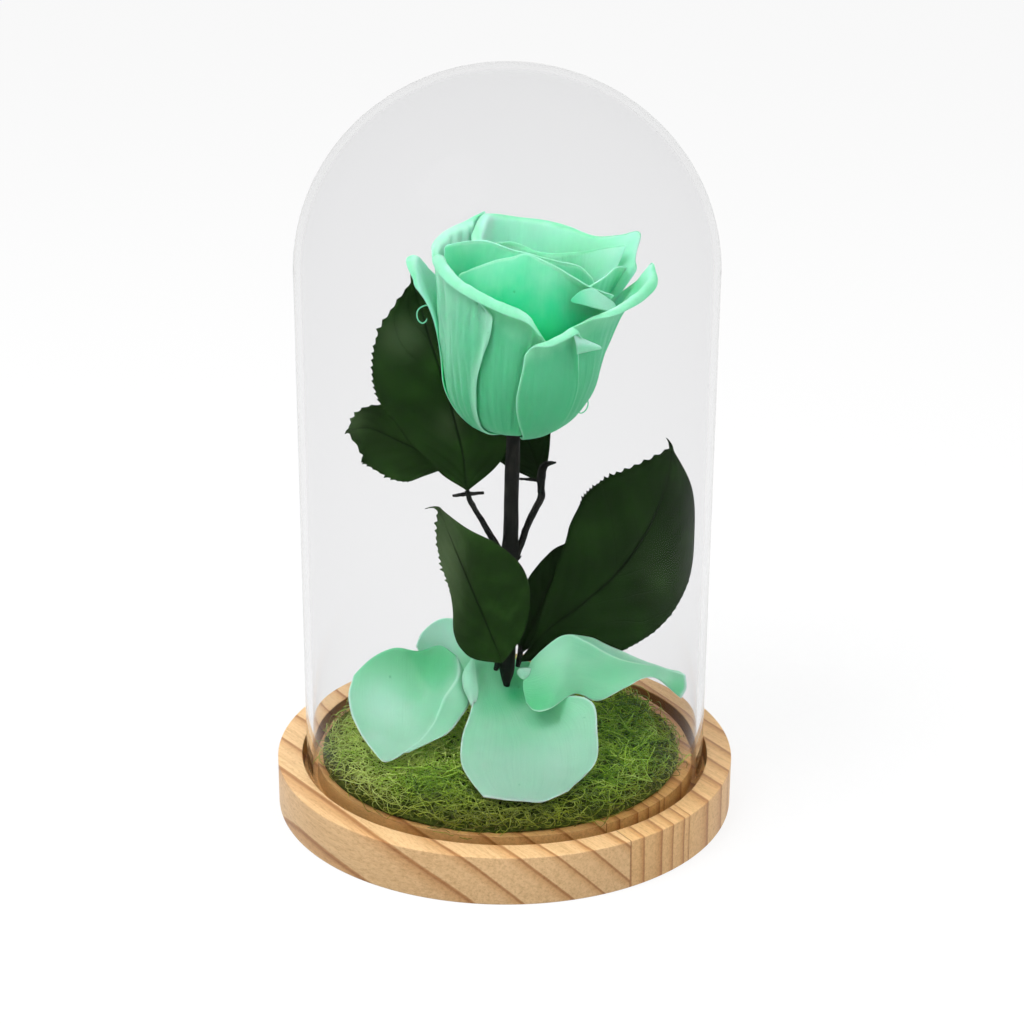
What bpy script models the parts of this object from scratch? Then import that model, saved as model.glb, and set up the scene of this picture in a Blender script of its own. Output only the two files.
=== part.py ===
"""A preserved rose on a moss mat under a glass dome, on a turned pine base. Metres, +Z up, origin under the base."""

import math

import bmesh
import bpy
import numpy as np

MM = 0.001
GAP = 0.3

# Driving dimensions, in millimetres
BASE_RADIUS = 60.0
BASE_HEIGHT = 13.0
BASE_EDGE = 0.5
GROOVE_OUTER = 53.6
GROOVE_INNER = 49.4
GROOVE_FLOOR = 8.0
SOCKET_RADIUS = 2.9
SOCKET_FLOOR = 6.5
BASE_SEGMENTS = 40

TOTAL_HEIGHT = 193.3
DOME_RADIUS = 52.4
DOME_WALL = 1.8
DOME_TOP_RATIO = 0.956
DOME_SEGMENTS = 36
DOME_ARCS = 6

MOSS_RADIUS = 48.0
MOSS_CENTRE = (-1.0, -0.6)
MOSS_EDGE_HEIGHT = 3.4
MOSS_CROWN = 6.2
MOSS_HOLE = 3.1
MOSS_SECTORS = 24
MOSS_RINGS = 4

STEM_SIDES = 8
STALK_SIDES = 6

ROSE_UNDERSIDE = 101.2
ROSE_CENTRE = 2.6
ROSE_LEAN = 0.08
PETAL_THICKNESS = 0.45
LAYER_RISE = 0.7
BUD_LAYER = 7
PETAL_FOOT_RADIUS = 4.6
LIP_RADIUS = 1.5
LIP_TAIL = 0.5

FALLEN_THICKNESS = 0.6
LEAF_THICKNESS = 0.5


# Petals of the rose, each a layer counted inwards and ribs from one side edge to the other.
# A rib is (azimuth at the foot, at the shoulder, at the rim, rim radius, rim height, lean, roll), in
# degrees and millimetres. Azimuth 0 is +X and -90 is the front.
ROSE_PETALS = {
    "petal_front_right": (0, [
        (-80, -94, -91, 21.3, 127, 6, 10),
        (-72, -86, -86, 21.9, 129.6, 10, 70),
        (-64, -77, -77, 22.0, 130.9, 14, 120),
        (-56, -67, -68, 21.8, 132.3, 14, 130),
        (-48, -56, -60, 21.7, 133.6, 14, 130),
        (-40, -44, -54, 21.8, 130.5, 14, 30),
    ]),
    "petal_right": (1, [
        (-52, -56, -66, 19.0, 131.5, 2, 0),
        (-40, -44, -50, 19.9, 134, 8, 20),
        (-28, -32, -34, 22.2, 135.2, 22, 50),
        (-16, -19, -20, 24.3, 136.3, 30, 60),
        (-6, -8, -9, 28.0, 138, 40, 60),
        (2, 0, -1, 31.4, 140.6, 46, 40),
        (10, 8, 7, 30.6, 143.6, 40, 10),
        (18, 17, 14, 25.5, 138.5, 28, 0),
    ]),
    "petal_left": (0, [
        (190, 190, 186, 27.0, 138, 40, 20),
        (182, 182, 180, 29.2, 142.5, 40, 60),
        (174, 174, 174, 29.8, 145, 36, 90),
        (166, 166, 167, 29.4, 144.4, 32, 90),
        (156, 156, 157, 27.9, 140, 26, 80),
        (138, 138, 139, 25.4, 135, 16, 60),
        (118, 118, 118, 22.5, 129, 8, 10),
    ]),
    "petal_back": (1, [
        (128, 128, 128, 22.1, 133, 8, 0),
        (112, 112, 112, 24.4, 141.5, 18, 60),
        (95, 95, 95, 25.3, 144, 24, 100),
        (78, 78, 78, 25.4, 143.8, 24, 100),
        (62, 62, 62, 24.5, 141.5, 20, 70),
        (46, 46, 46, 22.3, 134, 10, 0),
    ]),
    "petal_back_right": (2, [
        (58, 58, 58, 18.9, 126, 6, 0),
        (48, 48, 48, 20.2, 130, 12, 30),
        (38, 38, 38, 21.4, 131, 18, 40),
        (29, 29, 29, 21.9, 131, 18, 30),
        (21, 21, 21, 21.2, 128, 16, 0),
    ]),
    "petal_inner_left": (1, [
        (-136, -123, -112, 19.8, 135.5, -4, 0),
        (-150, -140, -132, 20.7, 138, -3, 0),
        (-163, -157, -152, 22.6, 142, 4, 0),
        (-176, -173, -170, 23.9, 145.6, 8, 20),
        (-190, -188, -186, 24.2, 148.4, 8, 100),
        (-204, -202, -200, 23.1, 150.8, 8, 70),
        (-216, -216, -214, 21.4, 152.6, 6, 30),
        (-230, -231, -231, 20.0, 154.2, 2, 0),
    ]),
    "petal_inner_front": (2, [
        (-74, -76, -77, 19.8, 129.5, 2, 20),
        (-82, -83, -83, 20.5, 133, 4, 110),
        (-92, -92, -92, 20.5, 137.4, 2, 160),
        (-106, -107, -108, 20.4, 139.6, 0, 170),
        (-122, -124, -125, 21.0, 141.8, 0, 170),
        (-138, -142, -143, 22.0, 144, 0, 170),
        (-152, -158, -160, 22.9, 146.2, 0, 160),
        (-166, -173, -176, 22.0, 146.2, 0, 60),
        (-176, -184, -190, 20.4, 142, 3, 0),
    ]),
    "petal_inner_back": (3, [
        (140, 142, 131, 18.9, 153.8, -2, 0),
        (126, 126, 120, 20.1, 152.6, 2, 20),
        (106, 106, 104, 21.2, 151.2, 8, 40),
        (86, 86, 86, 21.6, 150.2, 10, 50),
        (68, 68, 68, 22.0, 149, 12, 40),
        (50, 50, 50, 23.6, 147, 20, 30),
        (34, 34, 34, 26.2, 148, 30, 10),
        (22, 22, 22, 28.4, 149.6, 34, 0),
        (14, 16, 17, 26.5, 141, 28, 0),
    ]),
    "petal_heart_front": (4, [
        (-150, -160, -166, 18.0, 142.5, -6, 0),
        (-138, -146, -150, 16.1, 145.2, -12, 10),
        (-122, -128, -132, 13.7, 147.6, -20, 20),
        (-106, -110, -112, 12.7, 149, -24, 20),
        (-98, -100, -100, 12.8, 149.9, -22, 0),
        (-86, -86, -86, 13.0, 148.9, -20, 20),
        (-70, -68, -66, 13.9, 146.8, -14, 40),
        (-52, -50, -49, 15.1, 144.4, -6, 90),
        (-38, -35, -33, 17.4, 141, 6, 150),
        (-24, -20, -16, 21.0, 138, 16, 120),
    ]),
    "petal_heart_right": (5, [
        (-30, -32, -34, 14.8, 140, 4, 0),
        (-20, -20, -20, 16.7, 141.2, 8, 0),
        (-8, -8, -8, 18.4, 142, 10, 0),
        (4, 4, 3, 20.3, 142.8, 12, 0),
        (14, 14, 12, 22.0, 143.4, 14, 0),
        (24, 24, 22, 22.7, 142, 14, 0),
    ]),
    "petal_heart_back": (4, [
        (138, 142, 146, 11.4, 147.6, -18, 20),
        (118, 120, 118, 10.9, 147.2, -18, 40),
        (92, 92, 88, 9.6, 145.2, -16, 50),
        (66, 64, 60, 10.3, 144.6, -12, 50),
        (44, 42, 38, 14.2, 145, 0, 30),
        (30, 30, 26, 20.6, 146.2, 14, 0),
    ]),
    "petal_heart_left": (6, [
        (-188, -190, -192, 15.7, 150.2, -4, 0),
        (-172, -170, -168, 10.0, 149.6, -14, 20),
        (-140, -138, -134, 7.3, 149, -20, 30),
        (-106, -104, -101, 6.5, 148.4, -22, 30),
        (-74, -72, -70, 6.7, 147.4, -20, 30),
        (-44, -44, -44, 8.1, 146.4, -14, 30),
        (-24, -22, -18, 12.7, 144.6, 0, 10),
    ]),
    "petal_bud_back": (7, [
        (160, 160, 165, 7.5, 144.5, -10, 0),
        (110, 110, 110, 7.0, 143.5, -10, 20),
        (60, 60, 60, 6.4, 143, -10, 20),
        (10, 10, 5, 6.0, 143.5, -10, 0),
    ]),
    "petal_bud_front": (8, [
        (-170, -170, -170, 5.8, 144.5, -8, 0),
        (-120, -120, -120, 4.8, 144.8, -8, 10),
        (-70, -70, -70, 4.0, 144.3, -8, 10),
        (-20, -20, -20, 3.7, 143.8, -8, 0),
        (25, 25, 25, 4.1, 143, -8, 0),
    ]),
    "petal_bud_core": (9, [
        (60, 60, 60, 3.0, 143, -8, 0),
        (140, 140, 140, 3.6, 143.8, -8, 0),
        (220, 220, 220, 3.2, 144, -8, 0),
        (300, 300, 300, 2.1, 143.8, -8, 0),
        (370, 370, 370, 1.6, 143, -8, 0),
    ]),
}

# Leaves: the midrib from stalk to tip, the half widths on the left and right of it, the direction
# that the visible face looks in, and how far the halves fold towards that direction, in degrees.
LEAVES = {
    "leaf_upper_large": {
        "midrib": [(-10.0, 5, 84.7), (-11.4, 9, 92.5), (-14.4, 14, 103.4), (-19.6, 19, 119.2), (-25.2, 21, 136.8)],
        "left": [0, 8.6, 13, 15.4, 18.6, 15.4, 0],
        "right": [0, 8.5, 10, 7, 6, 4.5, 0],
        "facing": (0.35, -1.0, 0.2),
        "fold": 5,
    },
    "leaf_upper_small": {
        "midrib": [(-15, 11, 87.6), (-20.5, 12.5, 89.6), (-28.5, 14, 92), (-36, 14.5, 94.3), (-42.0, 14, 95.8)],
        "left": [0, 3, 6.5, 8.5, 8, 5, 0],
        "right": [0, 5, 9.5, 12.5, 12, 7.5, 0],
        "facing": (0.0, -1.0, 0.2),
        "fold": 3,
    },
    "leaf_upper_right": {
        "midrib": [(9.0, 6, 84.9), (7.7, 9, 89), (5.6, 14, 93.6), (3.5, 19.5, 98.6), (1.6, 24, 106)],
        "left": [0, 4.4, 8, 10, 9, 5, 0],
        "right": [0, 2.8, 5.4, 7.2, 7, 4.5, 0],
        "facing": (0.0, -1.0, 0.5),
        "fold": 5,
    },
    "leaf_lower_left": {
        "midrib": [(-1.6, -3.6, 41.8), (-4.6, -5.5, 50), (-8.2, -8.5, 60.5), (-12.6, -10.5, 73), (-17.4, -12, 86)],
        "left": [0, 8, 9, 6.6, 5.2, 3.4, 0],
        "right": [0, 7, 11.5, 13.4, 12.4, 8, 0],
        "facing": (0.15, -1.0, 0.1),
        "fold": 8,
    },
    "leaf_lower_right": {
        "midrib": [(4.2, 2.4, 40), (11, 3.4, 45.8), (21, 4.4, 53.6), (30, 5, 62.4), (36.6, 5, 73),
                   (40.2, 5, 85), (41.4, 5, 97.2)],
        "left": [0, 5.5, 11.8, 17.4, 19, 14, 0],
        "right": [0, 4.5, 14.6, 18.4, 13.8, 8.6, 0],
        "facing": (0.0, -1.0, 0.2),
        "fold": 6,
    },
    "leaf_lower_middle": {
        "midrib": [(4.0, 5.4, 40.2), (8, 6.4, 48), (11.5, 7.4, 56), (14.5, 8.2, 63), (17, 8.6, 69)],
        "left": [0, 2.6, 4.4, 6.2, 6, 4, 0],
        "right": [0, 3, 4.5, 5, 4.5, 3, 0],
        "facing": (0.1, -1.0, 0.2),
        "fold": 4,
    },
}

# Fallen petals: rows of points across each petal, from its back edge to its front edge
FALLEN_PETALS = {
    "fallen_petal_left": [
        [(-39.4, -6, 36), (-35, -2, 39.2), (-29.3, 3, 40), (-23, 6.5, 37.6), (-17.4, 8.6, 38.2), (-12.8, 5, 36.8),
         (-9.6, 0, 31)],
        [(-40.4, -10, 32.6), (-35, -7, 32), (-29, -3, 29.5), (-23, 0, 28), (-17.5, 0, 31), (-12.2, -2.5, 34.6),
         (-9.2, -7, 29)],
        [(-39.3, -15, 29.5), (-34, -12.5, 26.8), (-28.5, -9.5, 25), (-23, -7.5, 25), (-18.5, -7, 28), (-15.6, -8, 31),
         (-11.6, -12.5, 27)],
        [(-36.8, -19.5, 26.4), (-32.5, -17.5, 24.2), (-28, -15, 23), (-24, -13.5, 23.2), (-20, -13.5, 25),
         (-17.8, -13.6, 27.3), (-14.4, -17, 25.2)],
        [(-33.6, -23.5, 23.6), (-31, -22.4, 22.6), (-28.2, -21, 22.1), (-25.6, -19.8, 22.2), (-23.2, -19, 23),
         (-21, -18.8, 24.3), (-18.4, -19.4, 24)],
        [(-31, -26.2, 21.7), (-30.2, -26.2, 21.4), (-29.4, -25.8, 21.3), (-28.2, -25, 21.4), (-27, -24.2, 21.8),
         (-25.6, -23, 22.5), (-24.4, -22.6, 22.3)],
    ],
    "fallen_petal_back": [
        [(-23.9, 10.6, 37), (-22.3, 14, 39.7), (-18, 17.6, 41.9), (-13, 17.6, 41.6), (-8, 14, 38)],
        [(-21, 9.8, 33), (-19, 12.8, 34), (-15, 14.5, 34.5), (-10, 13, 33.5), (-6.5, 11, 32)],
        [(-16, 9.4, 29), (-14, 10.8, 28.8), (-11, 11.5, 28.5), (-7.5, 11, 28), (-4.5, 9.6, 28)],
        [(-12, 9.6, 25), (-10.5, 10.4, 24.5), (-8.5, 10.6, 24.2), (-6, 10.2, 24), (-3.4, 9.2, 24.2)],
    ],
    "fallen_petal_front": [
        [(-8.4, 3.4, 37), (-4.6, 6.2, 35.2), (0.6, 6.8, 33.6), (5.5, 5.2, 31.6), (9, 2.6, 29.8)],
        [(-8.0, -1.6, 34.6), (-5, 0.5, 31.8), (0.7, 1, 31), (6, -1.5, 29.2), (11, -3.5, 28)],
        [(-7.8, -6.5, 31.8), (-5, -5, 30), (0.5, -4.5, 29.4), (7.5, -8, 28), (13, -9.6, 28.6)],
        [(-9.0, -12.4, 28.6), (-3.5, -11, 26.8), (3, -11, 26), (11, -12.5, 27.4), (17, -12.6, 33.8)],
        [(-10.8, -19, 25.6), (-4, -18.5, 23.8), (5, -19, 23.4), (14, -19, 25.6), (22.6, -15, 33)],
        [(-11.1, -26, 22.5), (-4.5, -27, 22.2), (5, -28, 21.9), (15, -27, 22.6), (23.6, -21.4, 28.4)],
        [(-8.9, -32, 21.2), (-3, -35, 20.9), (5, -37, 20.7), (13.5, -36.5, 20.9), (22.4, -30.2, 23.8)],
        [(-5.1, -40.6, 19.2), (0, -42, 19.3), (5, -43, 19.4), (10, -43, 19.5), (16, -39.6, 20.6)],
    ],
    "fallen_petal_right": [
        [(6.8, 1.2, 36.6), (6.9, -5.5, 40.4), (4.8, -10, 36.5), (5.4, -14, 32.6)],
        [(10, 3.5, 36.6), (9.8, -5.8, 43.5), (8.2, -11, 38), (7.6, -16.3, 31.3)],
        [(15, 4, 37), (15.7, -4, 47.3), (13.5, -11, 40), (11.4, -16.8, 32)],
        [(21, 4, 36.6), (20.7, -3.5, 46.6), (19.6, -8.5, 39.6), (18, -10.9, 33.6)],
        [(28, 3.5, 36), (27, -3.5, 44.2), (25.5, -8, 38), (24, -11.3, 31.8)],
        [(34, 2, 35.6), (33, -4, 41.6), (31.5, -8, 38.6), (31.2, -11, 35.6)],
        [(40, -1, 36), (39.5, -5, 39.4), (39, -7.5, 38.4), (38, -9.2, 37.7)],
        [(45.6, -5, 36.8), (46, -6, 37.9), (47, -7.8, 34.5), (45.2, -9, 31.6)],
    ],
}


def srgb(red, green, blue):
    """The linear colour that a picture stores as these 0 to 255 values."""
    levels = []
    for value in (red, green, blue):
        share = value / 255
        levels.append(share / 12.92 if share <= 0.04045 else ((share + 0.055) / 1.055) ** 2.4)
    return (*levels, 1.0)


def make_material(name, colour, roughness, transmission=0.0):
    material = bpy.data.materials.new(name)
    material.use_nodes = True
    shader = material.node_tree.nodes["Principled BSDF"]
    shader.inputs["Base Color"].default_value = colour
    shader.inputs["Roughness"].default_value = roughness
    shader.inputs["Metallic"].default_value = 0.0
    shader.inputs["Transmission Weight"].default_value = transmission
    material.diffuse_color = colour
    return material


def add_object(name, mesh, material):
    mesh.materials.append(material)
    obj = bpy.data.objects.new(name, mesh)
    bpy.context.scene.collection.objects.link(obj)
    return obj


def finish_mesh(name, bm, sharp_angle=None):
    """The bmesh as a smooth-shaded mesh with its faces pointing outwards."""
    bmesh.ops.remove_doubles(bm, verts=bm.verts, dist=0.01 * MM)
    bmesh.ops.recalc_face_normals(bm, faces=bm.faces)
    mesh = bpy.data.meshes.new(name)
    bm.to_mesh(mesh)
    bm.free()
    mesh.shade_smooth()
    if sharp_angle is not None:
        mesh.set_sharp_from_angle(angle=math.radians(sharp_angle))
    return mesh


def turned_mesh(name, profile, segments):
    """A (radius, height) profile in millimetres spun once around the Z axis."""
    bm = bmesh.new()
    points = [bm.verts.new((radius * MM, 0, height * MM)) for radius, height in profile]
    edges = [bm.edges.new(pair) for pair in zip(points, points[1:])]
    bmesh.ops.spin(
        bm,
        geom=points + edges,
        cent=(0, 0, 0),
        axis=(0, 0, 1),
        angle=math.tau,
        steps=segments,
        use_duplicate=False,
    )
    return finish_mesh(name, bm, sharp_angle=40)


def curve_through(points, count):
    """This many points evenly along a smooth curve through the given ones."""
    points = np.asarray(points, float)
    ends = (2 * points[:1] - points[1:2], 2 * points[-1:] - points[-2:-1])
    padded = np.concatenate([ends[0], points, ends[1]])
    place = np.linspace(0, len(points) - 1, count)
    start = np.minimum(place.astype(int), len(points) - 2)
    share = (place - start)[:, None]
    before, left, right, after = (padded[start + i] for i in range(4))
    return 0.5 * (
        2 * left
        + (right - before) * share
        + (2 * before - 5 * left + 4 * right - after) * share**2
        + (3 * left - before - 3 * right + after) * share**3
    )


def sheet_object(name, grid, thickness, material):
    """A thin petal or leaf: a grid of points, rows by columns, given a thickness."""
    rows, columns = grid.shape[:2]
    bm = bmesh.new()
    points = [[bm.verts.new(grid[i, j] * MM) for j in range(columns)] for i in range(rows)]
    for i in range(rows - 1):
        for j in range(columns - 1):
            bm.faces.new((points[i][j], points[i][j + 1], points[i + 1][j + 1], points[i + 1][j]))
    obj = add_object(name, finish_mesh(name, bm), material)
    wall = obj.modifiers.new("Thickness", "SOLIDIFY")
    wall.thickness = thickness * MM
    wall.offset = 0.0
    wall.use_quality_normals = True
    return obj


def tube_mesh(name, path, radii, sides):
    """A closed tube along a path, in millimetres, with a radius at each of its points."""
    path = np.asarray(path, float)
    along = np.gradient(path, axis=0)
    along /= np.linalg.norm(along, axis=1)[:, None]
    across = np.cross(along, (0.0, 1.0, 0.0))
    across /= np.linalg.norm(across, axis=1)[:, None]
    up = np.cross(across, along)
    bm = bmesh.new()
    rings = []
    for centre, side, top, radius in zip(path, across, up, radii):
        ring = []
        for k in range(sides):
            turn = math.tau * k / sides
            ring.append(bm.verts.new((centre + radius * (side * math.cos(turn) + top * math.sin(turn))) * MM))
        rings.append(ring)
    for lower, upper in zip(rings, rings[1:]):
        for k in range(sides):
            after = (k + 1) % sides
            bm.faces.new((lower[k], lower[after], upper[after], upper[k]))
    bm.faces.new(rings[0])
    bm.faces.new(rings[-1])
    return finish_mesh(name, bm, sharp_angle=50)


def cubic(ends_and_handles, share):
    """A point of a cubic Bezier curve at each share from 0 to 1."""
    first, second, third, last = ends_and_handles
    rest = 1 - share
    return first * rest**3 + 3 * second * rest**2 * share + 3 * third * rest * share**2 + last * share**3


def rose_axis(height):
    """Where the leaning axis of the rose stands in X at a height."""
    return ROSE_CENTRE + ROSE_LEAN * (height - ROSE_UNDERSIDE)


def petal_grid(layer, ribs, columns, cup_rows, rise_rows, lip_rows):
    """Points of a rose petal, rows from its foot to its rolled lip: a cup shared with its neighbours, then a rise to its own rim."""
    foot_az, mid_az, rim_az, radius, height, lean, roll = curve_through(ribs, columns).T
    foot_az, mid_az, rim_az, lean = (np.radians(angle) for angle in (foot_az, mid_az, rim_az, lean))
    roll = np.radians(np.maximum(roll, 0.0))
    rise = height - ROSE_UNDERSIDE

    # The lip starts below and inside its crest
    crest = np.minimum(lean + roll, math.pi / 2)
    lip_r = radius - LIP_RADIUS * (np.cos(lean) - np.cos(crest))
    lip_z = rise - LIP_RADIUS * (np.sin(crest) - np.sin(lean))

    shoulder = (19.8 - layer, 15.0 + 0.15 * layer)
    rows = []
    for share in np.linspace(0, 1, cup_rows + 1):
        ease = share * share * (3 - 2 * share)
        r = cubic((PETAL_FOOT_RADIUS, 12.4 - 0.3 * layer, 18.0 - 0.8 * layer, shoulder[0]), share)
        z = cubic((LAYER_RISE * layer, LAYER_RISE * layer - 0.3, 6.5 + 0.7 * layer, shoulder[1]), share)
        rows.append((foot_az + (mid_az - foot_az) * ease, np.full(columns, r), np.full(columns, z)))
    reach = np.hypot(lip_r - shoulder[0], lip_z - shoulder[1]) / 3
    handles_r = (shoulder[0], shoulder[0] + reach * math.sin(0.17), lip_r - reach * np.sin(lean), lip_r)
    handles_z = (shoulder[1], shoulder[1] + reach * math.cos(0.17), lip_z - reach * np.cos(lean), lip_z)
    for share in np.linspace(0, 1, rise_rows + 1)[1:]:
        ease = share * share * (3 - 2 * share)
        rows.append((mid_az + (rim_az - mid_az) * ease, cubic(handles_r, share), cubic(handles_z, share)))
    for share in np.linspace(0, 1, lip_rows + 1)[1:]:
        turned = lean + roll * share
        r = lip_r + LIP_RADIUS * (np.cos(lean) - np.cos(turned)) + LIP_TAIL * share * np.sin(turned)
        z = lip_z + LIP_RADIUS * (np.sin(turned) - np.sin(lean)) + LIP_TAIL * share * np.cos(turned)
        rows.append((rim_az, r, z))

    azimuth, r, z = (np.array(values) for values in zip(*rows))
    z = z + ROSE_UNDERSIDE
    return np.stack([rose_axis(z) + r * np.cos(azimuth), r * np.sin(azimuth), z], axis=-1)


def leaf_grid(leaf, rows, columns, tooth):
    """Points of a leaf, rows from its stalk to its tip, folded along the midrib, with toothed margins."""
    midrib = curve_through(leaf["midrib"], rows)
    along = np.gradient(midrib, axis=0)
    along /= np.linalg.norm(along, axis=1)[:, None]
    side = np.cross(along, leaf["facing"])
    side /= np.linalg.norm(side, axis=1)[:, None]
    normal = np.cross(side, along)
    left = curve_through(np.array(leaf["left"], float)[:, None], rows)[:, 0]
    right = curve_through(np.array(leaf["right"], float)[:, None], rows)[:, 0]
    teeth = 1 + tooth * (np.arange(rows) % 2)
    fold = math.radians(leaf["fold"])
    grid = np.empty((rows, columns, 3))
    for j, across in enumerate(np.linspace(-1, 1, columns)):
        width = np.maximum(np.where(across < 0, left, right), 0.0)
        width = width * (teeth if abs(across) == 1 else 1)
        reach = (across * width * math.cos(fold))[:, None]
        lift = (abs(across) * width * math.sin(fold))[:, None]
        grid[:, j] = midrib + side * reach + normal * lift
    return grid


def net_grid(net, rows, columns):
    """Points of a smooth surface through a net of hand-placed points."""
    net = np.array(net, float)
    across = np.stack([curve_through(row, columns) for row in net])
    return np.stack([curve_through(across[:, j], rows) for j in range(columns)], axis=1)


def clear_scene():
    for obj in list(bpy.data.objects):
        bpy.data.objects.remove(obj, do_unlink=True)


def add_base():
    profile = [
        (0, 0),
        (BASE_RADIUS - BASE_EDGE, 0),
        (BASE_RADIUS, BASE_EDGE),
        (BASE_RADIUS, BASE_HEIGHT - BASE_EDGE),
        (BASE_RADIUS - BASE_EDGE, BASE_HEIGHT),
        (GROOVE_OUTER, BASE_HEIGHT),
        (GROOVE_OUTER, GROOVE_FLOOR),
        (GROOVE_INNER, GROOVE_FLOOR),
        (GROOVE_INNER, BASE_HEIGHT),
        (SOCKET_RADIUS, BASE_HEIGHT),
        (SOCKET_RADIUS, SOCKET_FLOOR),
        (0, SOCKET_FLOOR),
    ]
    pine = make_material("pine", srgb(214, 180, 132), 0.55)
    add_object("wood_base", turned_mesh("wood_base", profile, BASE_SEGMENTS), pine)


def add_dome():
    foot = GROOVE_FLOOR + GAP
    shoulder = TOTAL_HEIGHT - DOME_TOP_RATIO * DOME_RADIUS
    inner_radius = DOME_RADIUS - DOME_WALL
    inner_rise = TOTAL_HEIGHT - DOME_WALL - shoulder
    outside = []
    inside = []
    for k in range(DOME_ARCS + 1):
        turn = math.pi / 2 * k / DOME_ARCS
        outside.append((DOME_RADIUS * math.cos(turn), shoulder + DOME_TOP_RATIO * DOME_RADIUS * math.sin(turn)))
        inside.append((inner_radius * math.cos(turn), shoulder + inner_rise * math.sin(turn)))
    profile = [*reversed(inside), (inner_radius, foot), (DOME_RADIUS, foot), *outside]
    clear_glass = make_material("clear_glass", srgb(245, 247, 247), 0.02, transmission=1.0)
    add_object("glass_dome", turned_mesh("glass_dome", profile, DOME_SEGMENTS), clear_glass)


def moss_height(radius, turn):
    """Height of the moss at a place, with low tufts, above the plateau that it lies on."""
    share = radius / MOSS_RADIUS
    tufts = 0.5 * math.sin(3 * turn + 0.6) * math.sin(5.5 * share) + 0.4 * math.cos(7 * turn + 9 * share)
    return MOSS_EDGE_HEIGHT + (MOSS_CROWN - MOSS_EDGE_HEIGHT) * (1 - share**2.4) + tufts * share


def moss_ring(bm, radius, height, share):
    """A ring of moss points that drifts from the stem out to the centre of the mat."""
    ring = []
    for k in range(MOSS_SECTORS):
        turn = math.tau * k / MOSS_SECTORS
        edge = radius * (1 + 0.01 * math.sin(5 * turn + 1.0) * share)
        x = MOSS_CENTRE[0] * share + edge * math.cos(turn)
        y = MOSS_CENTRE[1] * share + edge * math.sin(turn)
        ring.append(bm.verts.new((x * MM, y * MM, height(turn) * MM)))
    return ring


def add_moss():
    floor = BASE_HEIGHT + GAP
    bm = bmesh.new()
    rings = []
    for step in range(MOSS_RINGS + 1):
        share = step / MOSS_RINGS
        radius = MOSS_HOLE + (MOSS_RADIUS - MOSS_HOLE) * share
        rings.append(moss_ring(bm, radius, lambda turn, radius=radius: floor + moss_height(radius, turn), share))
    rings.append(moss_ring(bm, MOSS_RADIUS - 1.0, lambda turn: floor, 1.0))
    rings.append(moss_ring(bm, MOSS_HOLE, lambda turn: floor, 0.0))
    for ring, following in zip(rings, rings[1:] + rings[:1]):
        for k in range(MOSS_SECTORS):
            after = (k + 1) % MOSS_SECTORS
            bm.faces.new((ring[k], ring[after], following[after], following[k]))
    moss = make_material("moss", srgb(104, 138, 62), 0.95)
    add_object("moss_mat", finish_mesh("moss_mat", bm), moss)


def add_stem(bark):
    """The stem from its socket in the base to the swollen end inside the rose."""
    stations = [
        (0.0, 6.8, 2.2),
        (0.2, 20.0, 2.0),
        (0.6, 30.0, 1.8),
        (0.4, 38.0, 2.2),
        (0.6, 48.0, 2.1),
        (0.9, 60.0, 2.1),
        (1.0, 68.0, 2.3),
        (1.2, 73.0, 2.0),
        (1.4, 84.0, 1.85),
        (1.6, 94.0, 1.8),
        (1.9, 100.8, 1.9),
        (2.4, 103.4, 3.6),
        (2.8, 109.0, 3.8),
        (3.2, 114.5, 2.0),
    ]
    path = [(x, 0.0, z) for x, z, _ in stations]
    radii = [radius for _, _, radius in stations]
    add_object("rose_stem", tube_mesh("rose_stem", path, radii, STEM_SIDES), bark)


def add_stalk(name, runs, bark):
    """A leaf stalk: its main run, joined with the short side runs that it carries."""
    main_path, main_radii = runs[0]
    stalk = add_object(name, tube_mesh(name, main_path, main_radii, STALK_SIDES), bark)
    for number, (path, radii) in enumerate(runs[1:], start=1):
        guide = add_object(f"{name}_side_{number}", tube_mesh(name, path, radii, STALK_SIDES), bark)
        guide.hide_render = True
        guide.display_type = "WIRE"
        join = stalk.modifiers.new(f"Join {number}", "BOOLEAN")
        join.operation = "UNION"
        join.object = guide
    return stalk


def add_stalks(bark):
    add_stalk("leaf_stalk_left", [
        ([(-2.5, 0.4, 70.6), (-6.1, 1.8, 76.3), (-9.2, 3.4, 81.2), (-10.1, 4.2, 83.8)], (0.9, 0.75, 0.7, 0.6)),
        ([(-13.7, 5.6, 81.8), (-10.2, 4.2, 82.8), (-5.7, 3.6, 83.4)], (0.4, 0.55, 0.35)),
    ], bark)
    add_stalk("leaf_stalk_right", [
        ([(4.3, 0.4, 68.2), (5.7, 1.6, 76.2), (8.7, 3.2, 82.2), (8.8, 3.8, 84.4)], (0.75, 0.85, 0.9, 0.8)),
        ([(8.8, 3.7, 83.6), (8.5, 3.2, 87.3), (9.4, 2.4, 91.2), (12.5, 2.2, 92.3)], (0.7, 0.6, 0.7, 0.3)),
        ([(8.9, 3.3, 86.8), (6.1, 4.2, 86.9), (3.4, 4.6, 86.9)], (0.4, 0.4, 0.3)),
    ], bark)
    add_stalk("leaf_stalk_lower", [
        ([(3.2, 1.8, 35.4), (3.7, 2.2, 37.4), (4.1, 2.4, 39.6)], (0.7, 0.75, 0.65)),
        ([(3.4, 2.2, 36.2), (3.8, 4.0, 38.0), (3.9, 5.2, 39.8)], (0.6, 0.6, 0.5)),
    ], bark)
    add_stalk("leaf_stalk_lower_left", [
        ([(-2.4, -2.0, 36.4), (-2.0, -2.9, 39.0), (-1.7, -3.4, 41.4)], (0.7, 0.7, 0.6)),
    ], bark)


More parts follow.
